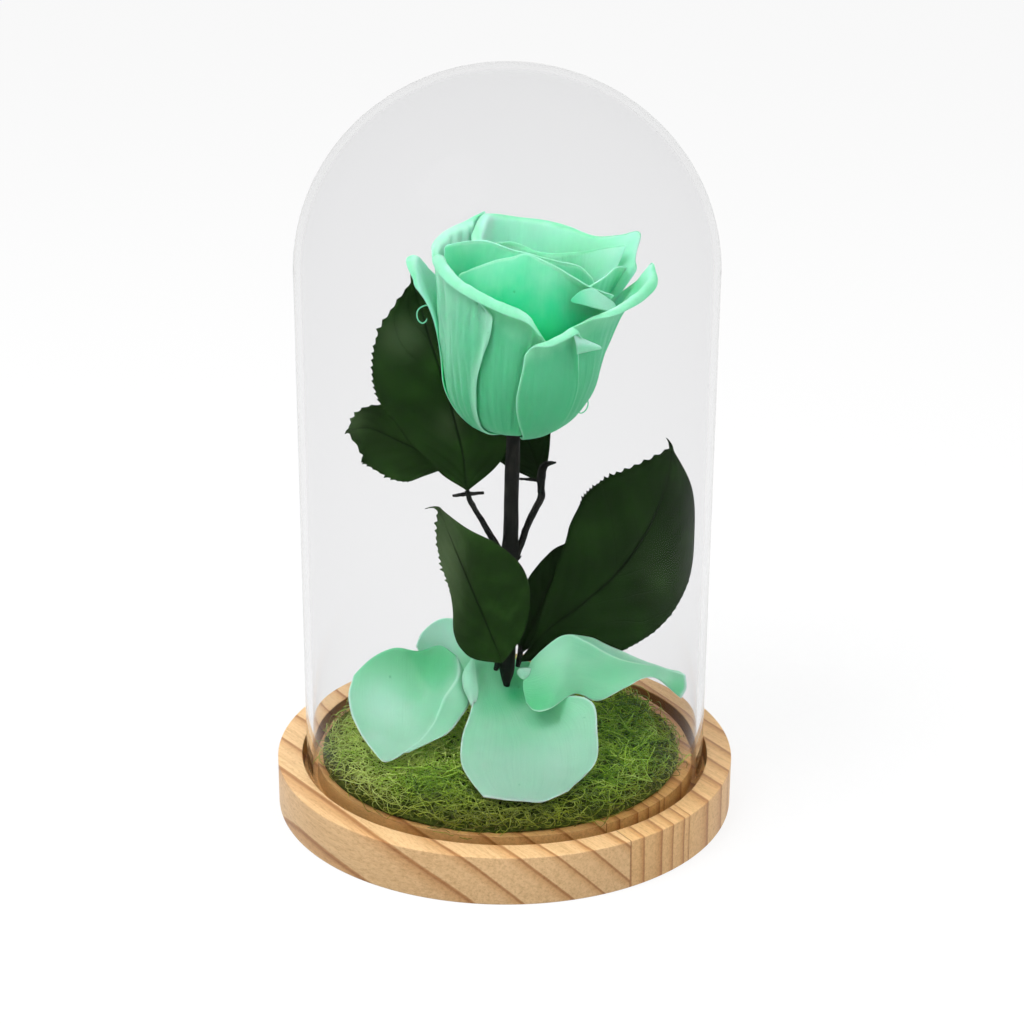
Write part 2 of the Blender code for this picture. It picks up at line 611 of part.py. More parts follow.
def add_leaves():
    green = make_material("leaf_green", srgb(40, 60, 34), 0.45)
    for name, leaf in LEAVES.items():
        sheet_object(name, leaf_grid(leaf, rows=13, columns=5, tooth=0.05), LEAF_THICKNESS, green)


def add_rose():
    petal = make_material("rose_petal", srgb(111, 200, 158), 0.6)
    for name, (layer, ribs) in ROSE_PETALS.items():
        span = abs(ribs[0][1] - ribs[-1][1])
        columns = min(6 + round(span / 40), 9)
        rows = 2 if layer >= BUD_LAYER else 3
        grid = petal_grid(layer, ribs, columns, cup_rows=rows, rise_rows=rows, lip_rows=rows)
        sheet_object(name, grid, PETAL_THICKNESS, petal)


def add_fallen_petals():
    petal = make_material("fallen_petal", srgb(145, 209, 172), 0.6)
    for name, net in FALLEN_PETALS.items():
        grid = net_grid(net, rows=9, columns=8)
        sheet_object(name, grid, FALLEN_THICKNESS, petal)


def cut_stem_hole():
    """A hole in the front petal, where the stem goes down through it."""
    hole = tube_mesh("stem_hole", [(0.65, 0, 26), (0.65, 0, 36)], (2.4, 2.4), STEM_SIDES)
    cutter = bpy.data.objects.new("stem_hole", hole)
    bpy.context.scene.collection.objects.link(cutter)
    cutter.hide_render = True
    cutter.display_type = "WIRE"
    cut = bpy.data.objects["fallen_petal_front"].modifiers.new("Stem hole", "BOOLEAN")
    cut.operation = "DIFFERENCE"
    cut.object = cutter


def main():
    clear_scene()
    add_base()
    add_dome()
    add_moss()
    bark = make_material("stem_bark", srgb(34, 38, 31), 0.6)
    add_stem(bark)
    add_stalks(bark)
    add_leaves()
    add_rose()
    add_fallen_petals()
    cut_stem_hole()


main()
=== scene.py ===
"""The finished look of a preserved mint rose under a glass dome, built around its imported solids.

Lengths are in millimetres where nothing else is said."""

import math

import bmesh
import bpy
import numpy as np
from mathutils import Matrix, Vector, noise


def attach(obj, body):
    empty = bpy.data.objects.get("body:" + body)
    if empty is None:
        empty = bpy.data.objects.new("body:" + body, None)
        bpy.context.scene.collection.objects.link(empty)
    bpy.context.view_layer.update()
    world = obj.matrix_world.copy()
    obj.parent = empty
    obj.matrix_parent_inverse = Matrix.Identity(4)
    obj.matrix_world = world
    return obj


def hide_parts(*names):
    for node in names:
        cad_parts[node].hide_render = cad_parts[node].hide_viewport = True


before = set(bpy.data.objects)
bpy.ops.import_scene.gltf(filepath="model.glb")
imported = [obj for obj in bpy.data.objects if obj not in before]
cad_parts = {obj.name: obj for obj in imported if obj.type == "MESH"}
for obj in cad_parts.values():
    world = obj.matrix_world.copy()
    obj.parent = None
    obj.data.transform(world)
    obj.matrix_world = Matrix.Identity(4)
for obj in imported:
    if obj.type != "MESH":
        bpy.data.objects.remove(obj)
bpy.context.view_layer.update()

MM = 0.001

# The camera, solved on the outlines of the base and the dome
PICTURE_WIDTH = 1024
FOCAL_PIXELS = 2258.0
CAMERA_AIM = (1.54, 0.0, 79.5)
CAMERA_DISTANCE = 577.0
CAMERA_DROP = 0.3619
CAMERA_ROLL = 0.0063
SENSOR_WIDTH = 36.0

# The turned base
BASE_RADIUS = 60.0
BASE_HEIGHT = 13.0
BASE_EDGE = 0.35
GROOVE_OUTER = 53.6
GROOVE_INNER = 49.4
GROOVE_FLOOR = 8.0
GROOVE_EDGE = 0.2
GROOVE_SHADE_RADIUS = 53.3
SOCKET_RADIUS = 2.9
SOCKET_FLOOR = 6.5
TURNED_SEGMENTS = 192
BASE_SHARP_ANGLE = 50

# The base's two boards: the way across each one's growth rings, and where rings end, as
# (millimetres that way from the origin, rings so far); then the glued seam, across the right board
LEFT_BOARD_NORMAL = (0.57, 0.44, 0.69)
LEFT_BOARD_RINGS = [
    (-50, 0), (-40, 1), (-30, 2), (-23, 3), (-15, 4), (-9.3, 5), (-2.9, 6), (3.6, 7), (75, 17),
]
RIGHT_BOARD_NORMAL = (0.84, 0.55, 0.0)
RIGHT_BOARD_RINGS = [
    (-5, 0), (-1.5, 1), (2.6, 2), (8.7, 3), (12.6, 4), (17, 5), (19, 6), (28, 7), (36, 8), (75, 14),
]
MOST_RINGS = 20.0
RING_WARP = 2.4
BOARD_SEAM = -2.0
SEAM_HALF_WIDTH = 0.14

# The studio's soft light, brighter from above
SKY_ABOVE = 0.56
SKY_BELOW = 0.28
BACKDROP = 0.95

# The blown dome
DOME_TOP = 193.3
DOME_FOOT = 8.3
DOME_RADIUS = 52.4
DOME_WALL = 1.8
DOME_TOP_RATIO = 0.956
DOME_ARCS = 88
DOME_SEGMENTS = 480
GLASS_IOR = 1.07
GLASS_ABSORPTION = 7.5

# The moss; its gloom is where it is deepest green, and how far from there that reaches, in metres
MOSS_FLOOR = 13.3
MOSS_RADIUS = 48.0
MOSS_CENTRE = (-1.0, -0.6)
MOSS_EDGE_HEIGHT = 3.4
MOSS_CROWN = 6.2
MOSS_HOLE = 3.1
MOSS_GLOOM = (-0.019, -0.031, 0.018)
MOSS_GLOOM_REACH = 0.019

# Layers of moss fibres: name, fibres in a square metre, the radius of a fibre's arc, its steps, its
# thickness, how far noise bends it, the noise's scale, how far it tilts up, and the seed
MOSS_LAYERS = [
    ("moss_fibres_fine", 480000.0, 1.5, 9, 0.08, 3.0, 260.0, 0.9, 3),
    ("moss_fibres_curled", 290000.0, 3.0, 15, 0.1, 6.0, 240.0, 0.42, 8),
    ("moss_fibres_long", 200000.0, 5.0, 21, 0.115, 9.0, 180.0, 0.22, 21),
    ("moss_fibres_loose", 120000.0, 7.5, 33, 0.14, 10.0, 140.0, 0.14, 34),
]

# Thin sheets; at a margin a sheet keeps this share of its thickness, and is thinner over this width
PETAL_THICKNESS = 0.4
FLAP_THICKNESS = 0.3
TONGUE_THICKNESS = 0.5
FALLEN_THICKNESS = 0.5
LOBE_THICKNESS = 0.4
LEAF_THICKNESS = 0.36
MARGIN_SHARE = 0.4
MARGIN_WIDTH = 0.05

# The rose
ROSE_UNDERSIDE = 101.2
ROSE_CENTRE = 2.6
ROSE_LEAN = 0.08
LAYER_RISE = 0.7
PETAL_FOOT_RADIUS = 4.6
LIP_RADIUS = 1.5
LIP_TAIL = 0.5
SIDE_CURL = 0.35
THREAD_RADIUS = 0.17
LAST_OUTER_LAYER = 2

# Tones from a petal's foot to its rim, as (place, red, green, blue): partly the petal's own colour, partly
# painted shade towards its foot and painted light towards its rim
OUTER_TONES = [(0.15, 80, 182, 130), (0.6, 96, 196, 148), (0.76, 142, 222, 182), (1.0, 152, 228, 190)]
HEART_TONES = [(0.48, 18, 214, 132), (0.58, 50, 212, 148), (0.7, 108, 216, 170), (0.86, 160, 232, 200)]
INNER_TONES = [
    (0.34, 36, 220, 142), (0.48, 100, 238, 182), (0.64, 178, 250, 220), (0.78, 186, 248, 222),
    (0.88, 148, 228, 188),
]
FALLEN_TONES = [(0.05, 130, 208, 164), (0.4, 150, 218, 180), (0.7, 162, 222, 188), (1.0, 172, 226, 196)]

# The torn corner of the front right petal: a patch of four corners, the first two on the petal
TORN_CORNER = [(15.9, -19.2, 132.3), (22.6, -14, 127.9), (22.9, -13.6, 127.2), (16.9, -18.5, 127.2)]

# The tongue of a petal of the heart, folded over its rim: rows of points across it
ROSE_TONGUE = [
    [(15.6, -13.7, 139.7), (15.4, -13.9, 139.2), (15.9, -14.1, 138.7)],
    [(17.8, -12.8, 141.3), (18.1, -13.8, 139.5), (19, -14, 138)],
    [(20.5, -10.6, 141.3), (21, -12.6, 138.9), (22.2, -12.8, 136.8)],
    [(23.8, -8.4, 138.8), (24.3, -9.8, 137.1), (25.2, -9.8, 135.5)],
    [(26.2, -6.4, 136.5), (26.5, -7, 135.8), (26.5, -7.2, 134.8)],
]

# Fine threads that curl off the petals
ROSE_THREADS = {
    "petal_left": [
        (-18, 1, 132.8), (-18.8, 0.5, 133.6), (-20.3, 0, 133.9), (-21.8, 0, 133), (-22.3, 0, 131.7),
        (-22, 0, 130.2), (-21, 0, 129.4), (-20.1, 0, 129.9), (-19.8, 0, 130.7),
    ],
    "petal_right": [
        (17.6, -2, 111.2), (18.9, -2, 111.3), (20, -2, 110.8), (20.4, -2, 109.4), (19.9, -2, 107.8),
        (18.7, -2, 106.9), (17.4, -2, 107.6),
    ],
}

# Painted highlights: paler bands beside a petal's first side edge, where its rolled edge catches the light:
# how wide as a share of the petal, and how much paler
PAINTED_EDGE_LIGHT = {
    "petal_inner_left": (0.05, 0.5),
    "petal_inner_back": (0.05, 0.8),
    "petal_front_right": (0.04, 0.3),
}

# Painted shade where the rose is deeper green, in its hollows and under its folds, as for the fallen petals
ROSE_PAINTED_SHADE = {
    "petal_right": [((31, 4, 138.5), (6, 8, 3.4), 0.8)],
    "petal_inner_left": [((-13, 4, 139), (8, 10, 4), 0.4)],
    "petal_inner_front": [((-8, -19, 115), (4, 6, 12), 0.3)],
    "petal_inner_back": [((22, 15, 140.5), (14, 8, 6), 0.55)],
    "petal_heart_back": [((10, 9, 141), (14, 8, 4.5), 0.4)],
    "petal_heart_front": [((15, -14, 135), (7, 9, 9), 0.2)],
    "petal_front_right": [((15.5, -14, 112), (3, 5, 12), 0.35)],
}

# Painted light where the rose is paler, lifting places that lie in its own shade
ROSE_PAINTED_LIGHT = {
    "petal_inner_left": [((-13, 8, 148), (10, 9, 5), 0.8), ((-17, -8, 130), (6, 9, 18), 0.3)],
    "petal_heart_front": [((24, -8, 134), (4, 5, 3.5), 0.4)],
}

# Petals of the rose: the layer counted inwards, how much the upper corners draw in, how deep the
# wrinkles are, and ribs from one side edge to the other. A rib is (azimuth at the foot, at the
# shoulder, at the rim, rim radius, rim height, lean, roll). Azimuth 0 is +X and -90 is the front.
ROSE_PETALS = {
    "petal_front_right": (0, 0.1, 0.1, [
        (-80, -94, -91, 21.3, 127, 6, 10), (-74, -86, -86, 21.9, 129.6, 10, 70),
        (-68, -77, -77, 22, 130.9, 14, 120), (-62, -67, -68, 21.8, 132.3, 14, 130),
        (-56, -56, -60, 21.7, 133.6, 14, 130), (-51, -48, -54, 21.8, 130.5, 14, 30),
    ]),
    "petal_right": (1, 0.06, 0.12, [
        (-52, -56, -66, 19, 131.5, 2, 0), (-40, -44, -50, 19.9, 134, 8, 60),
        (-28, -32, -34, 22, 135.6, 20, 110), (-16, -19, -20, 24.1, 136.7, 28, 120),
        (-6, -8, -9, 27, 138.4, 36, 120), (2, 0, -1, 29.8, 140.8, 40, 100), (9, 8, 7, 29.9, 143.6, 42, 0),
        (14, 12, 12, 28.2, 139.6, 36, 0), (19, 17, 17, 25, 136, 28, 0), (25, 24, 24, 21.5, 131, 20, 0),
    ]),
    "petal_left": (0, 0.12, 0.12, [
        (190, 190, 186, 27, 138, 40, 20), (182, 182, 180, 29.2, 142.5, 40, 60),
        (174, 174, 174, 29.8, 145, 36, 90), (166, 166, 167, 29.4, 144.4, 32, 90),
        (156, 156, 157, 27.9, 140, 26, 80), (138, 138, 139, 25.4, 135, 16, 60),
        (118, 118, 118, 22.5, 129, 8, 10),
    ]),
    "petal_back": (1, 0.1, 0.15, [
        (128, 128, 128, 22.1, 133, 8, 0), (112, 112, 112, 24.4, 141.5, 18, 60),
        (95, 95, 95, 25.3, 144, 24, 100), (78, 78, 78, 25.4, 143.8, 24, 100),
        (62, 62, 62, 24.5, 141.5, 20, 70), (46, 46, 46, 22.3, 134, 10, 0),
    ]),
    "petal_back_right": (2, 0.12, 0.12, [
        (58, 58, 58, 18.9, 126, 6, 0), (48, 48, 48, 20.2, 130, 12, 30), (38, 38, 38, 21.4, 131, 18, 40),
        (29, 29, 29, 21.9, 131, 18, 30), (21, 21, 21, 21.2, 128, 16, 0),
    ]),
    "petal_inner_left": (1, 0.04, 0.5, [
        (-137, -126, -115, 19.8, 135.7, -4, 0), (-150, -140, -132, 20.7, 140, -3, 0),
        (-163, -157, -152, 22.4, 143.8, 4, 0), (-176, -173, -170, 23.9, 145.6, 8, 20),
        (-190, -188, -186, 24.2, 148.4, 8, 100), (-204, -202, -200, 22.2, 151.2, 6, 90),
        (-216, -216, -214, 20, 152.6, 2, 60), (-230, -231, -231, 19.2, 153.9, 0, 0),
    ]),
    "petal_inner_front": (2, 0.04, 0.2, [
        (-74, -76, -77, 19.8, 129.5, 2, 20), (-82, -83, -83, 20.5, 133, 4, 110),
        (-92, -92, -92, 20.5, 137.4, 2, 160), (-106, -107, -108, 20.4, 139.6, 0, 170),
        (-122, -124, -125, 21, 141.8, 0, 170), (-138, -142, -143, 22, 144, 0, 170),
        (-152, -158, -160, 22.9, 146.2, 0, 160), (-166, -173, -176, 22.9, 146.9, 0, 130),
        (-176, -184, -190, 20.6, 141, 3, 40),
    ]),
    "petal_inner_back": (3, 0.04, 0.15, [
        (150, 156, 167, 14.4, 147.6, -4, 90), (146, 150, 157, 15.4, 150.2, -2, 130),
        (138, 142, 148, 16, 152, 0, 150), (128, 132, 134, 17.9, 153.6, 2, 130),
        (120, 122, 120, 20.5, 152.6, 4, 60), (106, 106, 104, 21.2, 151.2, 8, 40),
        (86, 86, 86, 21.6, 150.2, 10, 50), (68, 68, 68, 22, 149, 12, 40), (50, 50, 50, 23.6, 147, 20, 30),
        (34, 34, 34, 26.2, 148, 30, 10), (22, 22, 22, 28.4, 149.6, 34, 0), (24, 24, 18, 27, 144.4, 30, 0),
        (34, 30, 16, 27, 140.8, 30, 0),
    ]),
    "petal_heart_front": (4, 0.04, 0.08, [
        (-150, -160, -166, 18, 142.5, -6, 0), (-138, -146, -150, 16.1, 145.2, -12, 10),
        (-122, -128, -132, 13.7, 147.6, -20, 20), (-106, -110, -112, 12.7, 149, -24, 20),
        (-98, -100, -100, 12.8, 149.9, -22, 0), (-86, -86, -86, 13, 148.9, -20, 20),
        (-70, -68, -66, 13.9, 146.8, -14, 40), (-52, -50, -49, 15.1, 144.4, -6, 90),
        (-38, -35, -33, 17.4, 141, 6, 90), (-24, -20, -16, 21, 138, 16, 40),
    ]),
    "petal_heart_right": (5, 0.1, 0.1, [
        (-30, -32, -34, 14.8, 140, 4, 0), (-20, -20, -20, 16.7, 141.2, 8, 0),
        (-8, -8, -8, 18.4, 142, 10, 0), (4, 4, 3, 20.3, 142.8, 12, 20), (18, 16, 12, 22.6, 142.6, 18, 50),
        (34, 32, 20, 25, 141.2, 24, 30),
    ]),
    "petal_heart_back": (4, 0.06, 0.1, [
        (138, 142, 146, 11.4, 147.6, -18, 20), (118, 120, 118, 10.9, 147.2, -18, 40),
        (92, 92, 88, 9.6, 145.2, -16, 50), (66, 64, 60, 10.3, 144.6, -12, 50),
        (44, 42, 38, 14.2, 145, 0, 30), (30, 30, 26, 20.6, 146.2, 14, 0), (24, 24, 18, 24, 147.2, 20, 0),
    ]),
    "petal_heart_left": (6, 0.06, 0.08, [
        (-182, -184, -186, 21.6, 148, 4, 10), (-178, -180, -180, 17.8, 149.6, 0, 20),
        (-172, -172, -170, 12.4, 150.6, -8, 25), (-158, -156, -154, 9, 149.8, -16, 30),
        (-140, -138, -134, 7.3, 149, -20, 30), (-106, -104, -101, 6.5, 148.4, -22, 30),
        (-74, -72, -70, 6.7, 147.4, -20, 30), (-44, -44, -44, 8.1, 146.4, -14, 30),
        (-26, -24, -22, 12.4, 144.8, -4, 20), (-12, -12, -10, 15.6, 140.4, 0, 0),
    ]),
    "petal_bud_back": (7, 0.08, 0.06, [
        (160, 160, 165, 7.5, 144.5, -10, 0), (110, 110, 110, 7, 143.5, -10, 20),
        (60, 60, 60, 6.4, 143, -10, 20), (10, 10, 5, 6, 143.5, -10, 0),
    ]),
    "petal_bud_front": (8, 0.08, 0.05, [
        (-170, -170, -170, 5.8, 144.5, -8, 0), (-120, -120, -120, 4.8, 144.8, -8, 10),
        (-70, -70, -70, 4, 144.3, -8, 10), (-20, -20, -20, 3.7, 143.8, -8, 0),
        (25, 25, 25, 4.1, 143, -8, 0),
    ]),
    "petal_bud_core": (9, 0.05, 0.04, [
        (60, 60, 60, 3, 143, -8, 0), (140, 140, 140, 3.6, 143.8, -8, 0), (220, 220, 220, 3.2, 144, -8, 0),
        (300, 300, 300, 2.1, 143.8, -8, 0), (370, 370, 370, 1.6, 143, -8, 0),
    ]),
}

# Leaves: the midrib from stalk to tip, the half widths at even steps on the left and right of it,
# the direction that the visible face looks in, how far the halves fold towards it in degrees, where
# the tip hooks to, the toothed stretch of each margin as (start, end, millimetres), where a start of
# 2 means no teeth, and how much painted shade darkens its green, away from the light.
LEAVES = {
    "leaf_upper_large": {
        "midrib": [
            (-9.9, 4.9, 83.4), (-11.4, 9, 92.5), (-14.4, 14, 103.4), (-19.6, 19, 119.2), (-25, 21, 137.4),
        ],
        "left": [0, 6.4, 9.8, 13.6, 15.8, 18.2, 17.1, 12.4, 0],
        "right": [0, 7.5, 12, 11.5, 8.5, 7, 6, 4.5, 0],
        "facing": (0.35, -1, 0.2),
        "fold": 5,
        "length": 58,
        "hook": (0.4, -0.2, 0),
        "teeth": ((0.5, 0.97, 0.55), (2, 2, 0)),
        "shade_depth": 0.15,
    },
    "leaf_upper_small": {
        "midrib": [(-15, 11, 87.6), (-21, 12.5, 91), (-28.6, 14, 94), (-36, 14.3, 97.2), (-42, 14, 96.2)],
        "left": [0, 4.4, 8, 9.5, 9.5, 9.1, 8.9, 8, 0],
        "right": [0, 4, 7, 8.5, 9, 8.2, 6.3, 3.6, 0],
        "facing": (0, -1, 0.2),
        "fold": 3,
        "length": 30,
        "hook": (0, 0, -0.6),
        "teeth": ((0.1, 0.97, 0.5), (0.6, 0.95, 0.5)),
        "shade_depth": 0,
    },
    "leaf_upper_right": {
        "midrib": [(9, 6, 84.9), (7.7, 9, 89), (5.6, 14, 93.6), (3.5, 19.5, 98.6), (1.6, 24, 106)],
        "left": [0, 2.4, 5.4, 8, 9.6, 10, 8, 5, 0],
        "right": [0, 1.4, 3, 4.6, 6, 7.2, 7, 4.5, 0],
        "facing": (0, -1, 0.5),
        "fold": 5,
        "length": 30,
        "hook": (0, 0, 0),
        "teeth": ((2, 2, 0), (2, 2, 0)),
        "shade_depth": 0.8,
    },
    "leaf_lower_left": {
        "midrib": [
            (-0.7, -3.9, 38.9), (-4.2, -5.5, 49), (-8.2, -8.5, 60.5), (-12.6, -10.5, 73),
            (-17.5, -12, 87.2),
        ],
        "left": [0, 6.4, 8.8, 8.8, 6.6, 5.2, 4.7, 3.3, 0],
        "right": [0, 6.2, 10.2, 12.9, 14.5, 14, 10.6, 4.6, 0],
        "facing": (0.15, -1, 0.1),
        "fold": 14,
        "length": 48,
        "hook": (-2.6, 0.3, -2.6),
        "teeth": ((0.56, 0.98, 0.6), (2, 2, 0)),
        "shade_depth": 0.1,
    },
    "leaf_lower_right": {
        "midrib": [
            (3.9, 1.6, 36.8), (11, 3.4, 45), (21, 4.4, 53.2), (30, 5, 62), (36.8, 5, 73), (41, 5, 85),
            (42.6, 5, 98.3),
        ],
        "left": [0, 1.6, 7.4, 13.2, 17.3, 18.9, 18.5, 13.6, 0],
        "right": [0, 7.5, 14, 16.9, 17.7, 15.7, 11.3, 7, 0],
        "facing": (0, -1, 0.2),
        "fold": 6,
        "length": 70,
        "hook": (-1.8, 0, -0.3),
        "teeth": ((0.62, 0.98, 0.5), (0.2, 0.62, 0.26)),
        "shade_depth": 0.5,
    },
    "leaf_lower_middle": {
        "midrib": [(3.9, 4.6, 37.6), (8, 6.4, 47.6), (11.5, 7.4, 56), (14.5, 8.2, 63), (17, 8.6, 69)],
        "left": [0, 3.6, 4.8, 5.4, 6.2, 5.5, 4.4, 2.9, 0],
        "right": [0, 3, 4, 4.5, 5, 5, 4.5, 3, 0],
        "facing": (0.1, -1, 0.2),
        "fold": 4,
        "length": 32,
        "hook": (0, 0, 0),
        "teeth": ((2, 2, 0), (2, 2, 0)),
        "shade_depth": 0.75,
    },
}
TOOTH_PITCH = 1.4
BLADE_SHARE = 0.965
TIP_WIDTH = 0.5

# Painted highlight where a leaf is paler and greyer, as its soft shine: a centre, its reach on each axis, and
# how much
LEAF_PAINTED_HIGHLIGHT = {
    "leaf_upper_large": [((-27, 19, 121), (6, 9, 5), 0.55), ((-15, 12, 99), (4, 6, 4), 0.2)],
    "leaf_upper_small": [((-41, 14, 99), (4, 6, 4), 0.35)],
    "leaf_lower_left": [((-15.5, -11, 70), (4.5, 8, 17), 0.72)],
    "leaf_lower_right": [((40, 5, 62), (8, 8, 10), 0.12)],
}

# Fallen petals: rows of points across each petal, from its back edge to its front edge
FALLEN_PETALS = {
    "fallen_petal_left": [
        [
            (-39.4, -6, 36), (-35, -2, 39.2), (-29.3, 3, 40), (-23, 6.5, 37.6), (-17.4, 8.6, 38.2),
            (-12.8, 5, 36.8), (-9.6, 0, 31),
        ],
        [
            (-40.4, -10, 32.6), (-35, -7, 32), (-29, -3, 29.5), (-23, 0, 28), (-17.5, 0, 31),
            (-12.2, -2.5, 34.6), (-9.2, -7, 29),
        ],
        [
            (-39.3, -15, 29.5), (-34, -12.5, 26.8), (-28.5, -9.5, 25), (-23, -7.5, 25), (-18.5, -7, 28),
            (-15.6, -8, 31), (-11.6, -12.5, 27),
        ],
        [
            (-36.8, -19.5, 26.4), (-32.5, -17.5, 24.2), (-28, -15, 23), (-24, -13.5, 23.2),
            (-20, -13.5, 25), (-17.8, -13.6, 27.3), (-14.4, -17, 25.2),
        ],
        [
            (-33.6, -23.5, 23.6), (-31, -22.4, 22.6), (-28.2, -21, 22.1), (-25.6, -19.8, 22.2),
            (-23.2, -19, 23), (-21, -18.8, 24.3), (-18.4, -19.4, 24),
        ],
        [
            (-31, -26.2, 21.7), (-30.2, -26.2, 21.4), (-29.4, -25.8, 21.3), (-28.2, -25, 21.4),
            (-27, -24.2, 21.8), (-25.6, -23, 22.5), (-24.4, -22.6, 22.3),
        ],
    ],
    "fallen_petal_back": [
        [(-23.9, 10.6, 37), (-22.3, 14, 39.7), (-18, 17.6, 41.9), (-13, 17.6, 41.6), (-8, 14, 38)],
        [(-21, 9.8, 33), (-19, 12.8, 34), (-15, 14.5, 34.5), (-10, 13, 33.5), (-6.5, 11, 32)],
        [(-16, 9.4, 29), (-14, 10.8, 28.8), (-11, 11.5, 28.5), (-7.5, 11, 28), (-4.5, 9.6, 28)],
        [(-12, 9.6, 25), (-10.5, 10.4, 24.5), (-8.5, 10.6, 24.2), (-6, 10.2, 24), (-3.4, 9.2, 24.2)],
    ],
    "fallen_petal_front": [
        [(-8.4, 3.4, 37), (-4.6, 6.2, 35.8), (0.6, 6.8, 35.4), (5.5, 5.2, 35.6), (9, 3, 34.4)],
        [(-8, -1.6, 34.6), (-5, 0.5, 31.8), (0.7, 1, 31), (6, -1.5, 29.2), (11, -3.5, 28)],
        [(-7.8, -6.5, 31.8), (-5, -5, 30), (0.5, -4.5, 29.4), (7.5, -8, 28), (13, -9.6, 28.6)],
        [(-9, -12.4, 28.6), (-3.5, -11, 26.8), (3, -11, 26), (11, -12.5, 27.4), (17, -12.6, 33.8)],
        [(-10.8, -19, 25.6), (-4, -18.5, 23.8), (5, -19, 23.4), (14, -19, 25.6), (22.6, -15, 33)],
        [(-11.1, -26, 22.5), (-4.5, -27, 22.2), (5, -28, 21.9), (15, -27, 22.6), (23.6, -21.4, 28.4)],
        [(-9.6, -32, 21.2), (-3, -35, 20.9), (5, -37, 20.7), (14, -36.5, 20.9), (22.9, -30.6, 24)],
        [(-5.1, -40.6, 19.2), (0, -42, 19.3), (5, -43, 19.4), (10, -43, 19.5), (16, -39.6, 20.6)],
    ],
    "fallen_petal_right": [
        [(6.8, 1.2, 36.6), (6.9, -5.5, 40.4), (4.8, -10, 36.5), (5.4, -14, 32.6)],
        [(10.4, 1, 40.4), (9.8, -5.8, 43.5), (8.2, -11, 38), (7.6, -16.3, 31.3)],
        [(15.6, 0.5, 44.8), (15.7, -4, 47.1), (13.5, -11, 40), (11.4, -16.8, 32)],
        [(22, 0.5, 44.4), (21.4, -4.2, 44.9), (19.6, -8.5, 39.6), (18, -10.9, 33.6)],
        [(28.6, 0.5, 41.4), (27.5, -5, 41.6), (25.5, -8, 38), (24, -11.3, 31.8)],
        [(35, 0, 38.8), (33.5, -5.2, 39.7), (31.5, -8, 38), (31.2, -11, 35.6)],
        [(41, -1.5, 37), (40, -5.6, 38.7), (39.4, -7.5, 38.2), (38, -9.2, 37.7)],
        [(45.6, -4, 37), (46.8, -6.6, 37), (47, -8, 34.2), (45.6, -9, 31.6)],
    ],
}

# The point of each row at which a fallen petal is creased
FALLEN_CREASES = {"fallen_petal_left": 5, "fallen_petal_right": 1}
FALLEN_ROWS = 71
FALLEN_COLUMNS = 61

# Lobes that are part of a fallen petal: rows of points across each
FALLEN_LOBES = {
    "fallen_petal_front": [
        [(-8.9, -0.6, 38.6), (-8.4, -0.8, 38.7), (-8, -1, 38.3)],
        [(-11, -4.2, 36.1), (-9.2, -4.6, 36.4), (-7.5, -4.2, 35)],
        [(-10.9, -6.6, 33.4), (-9, -7.6, 33.6), (-6.9, -6.6, 32.4)],
        [(-9.9, -8, 31.4), (-8.6, -8.6, 31.3), (-7.3, -8.4, 30.5)],
        [(-8.7, -9.8, 29.3), (-8.4, -9.9, 29.2), (-8.1, -9.9, 29.1)],
    ],
    "fallen_petal_right": [
        [(3.1, -9.4, 39.4), (3.2, -9.6, 38.9), (3.4, -9.4, 38.3)],
        [(3.9, -9.6, 40.2), (4.2, -10.2, 39), (4.1, -9.8, 37.5)],
        [(5.4, -9, 40), (5.6, -9.8, 38.4), (5.4, -9.4, 36.8)],
        [(6.8, -7.8, 39.4), (7, -8.6, 38.2), (7, -8.6, 36.8)],
    ],
}

# Painted shade where fallen petals are deeper green: a centre, its reach on each axis, and how much;
# a sharp side is a point of its border, the way from the border into the shade, and the border's softness
FALLEN_PAINTED_SHADE = {
    "fallen_petal_left": [
        ((-19, 3, 35), (8, 9, 6.5), 0.6, ((-24.4, 0, 35.6), (0.85, 0.19, 0.49), 1.2)),
        ((-19, -8, 27), (8, 8, 4.5), 0.3),
    ],
    "fallen_petal_back": [((-8, 13, 35), (5, 9, 6), 0.25)],
    "fallen_petal_front": [
        ((2.6, -3, 30), (4.2, 6, 4.5), 0.95), ((-2, -6, 30), (7, 7, 5), 0.55),
        ((10, -11, 27), (6, 6, 5), 0.5), ((5, -16, 24.5), (9, 6, 4), 0.2),
    ],
    "fallen_petal_right": [
        ((9, -14, 33), (5, 8, 5), 0.6), ((20, -5, 42), (8, 3, 4), 0.35), ((29, -7, 38), (12, 5, 5), 0.4),
        ((45, -8, 34), (4, 5, 4), 0.65), ((22, -10, 34), (12, 5, 4), 0.25),
    ],
}

# Painted light where fallen petals are paler, on lit parts and where the rose shades them
FALLEN_PAINTED_LIGHT = {
    "fallen_petal_left": [
        ((-31, -8, 29), (10, 10, 8), 0.9), ((-33, -18, 25), (7, 7, 7), 0.5),
        ((-13, -7, 31), (3.5, 8, 5), 0.25),
    ],
    "fallen_petal_back": [((-17, 15, 38), (14, 10, 9), 1)],
    "fallen_petal_front": [((14, -26, 24), (9, 9, 7), 0.25), ((-9, -5, 33), (2.5, 6, 5), 0.3)],
    "fallen_petal_right": [((12, -7, 44), (6, 5, 4), 0.3), ((30, 0.5, 41), (14, 2.6, 6), 0.6)],
}

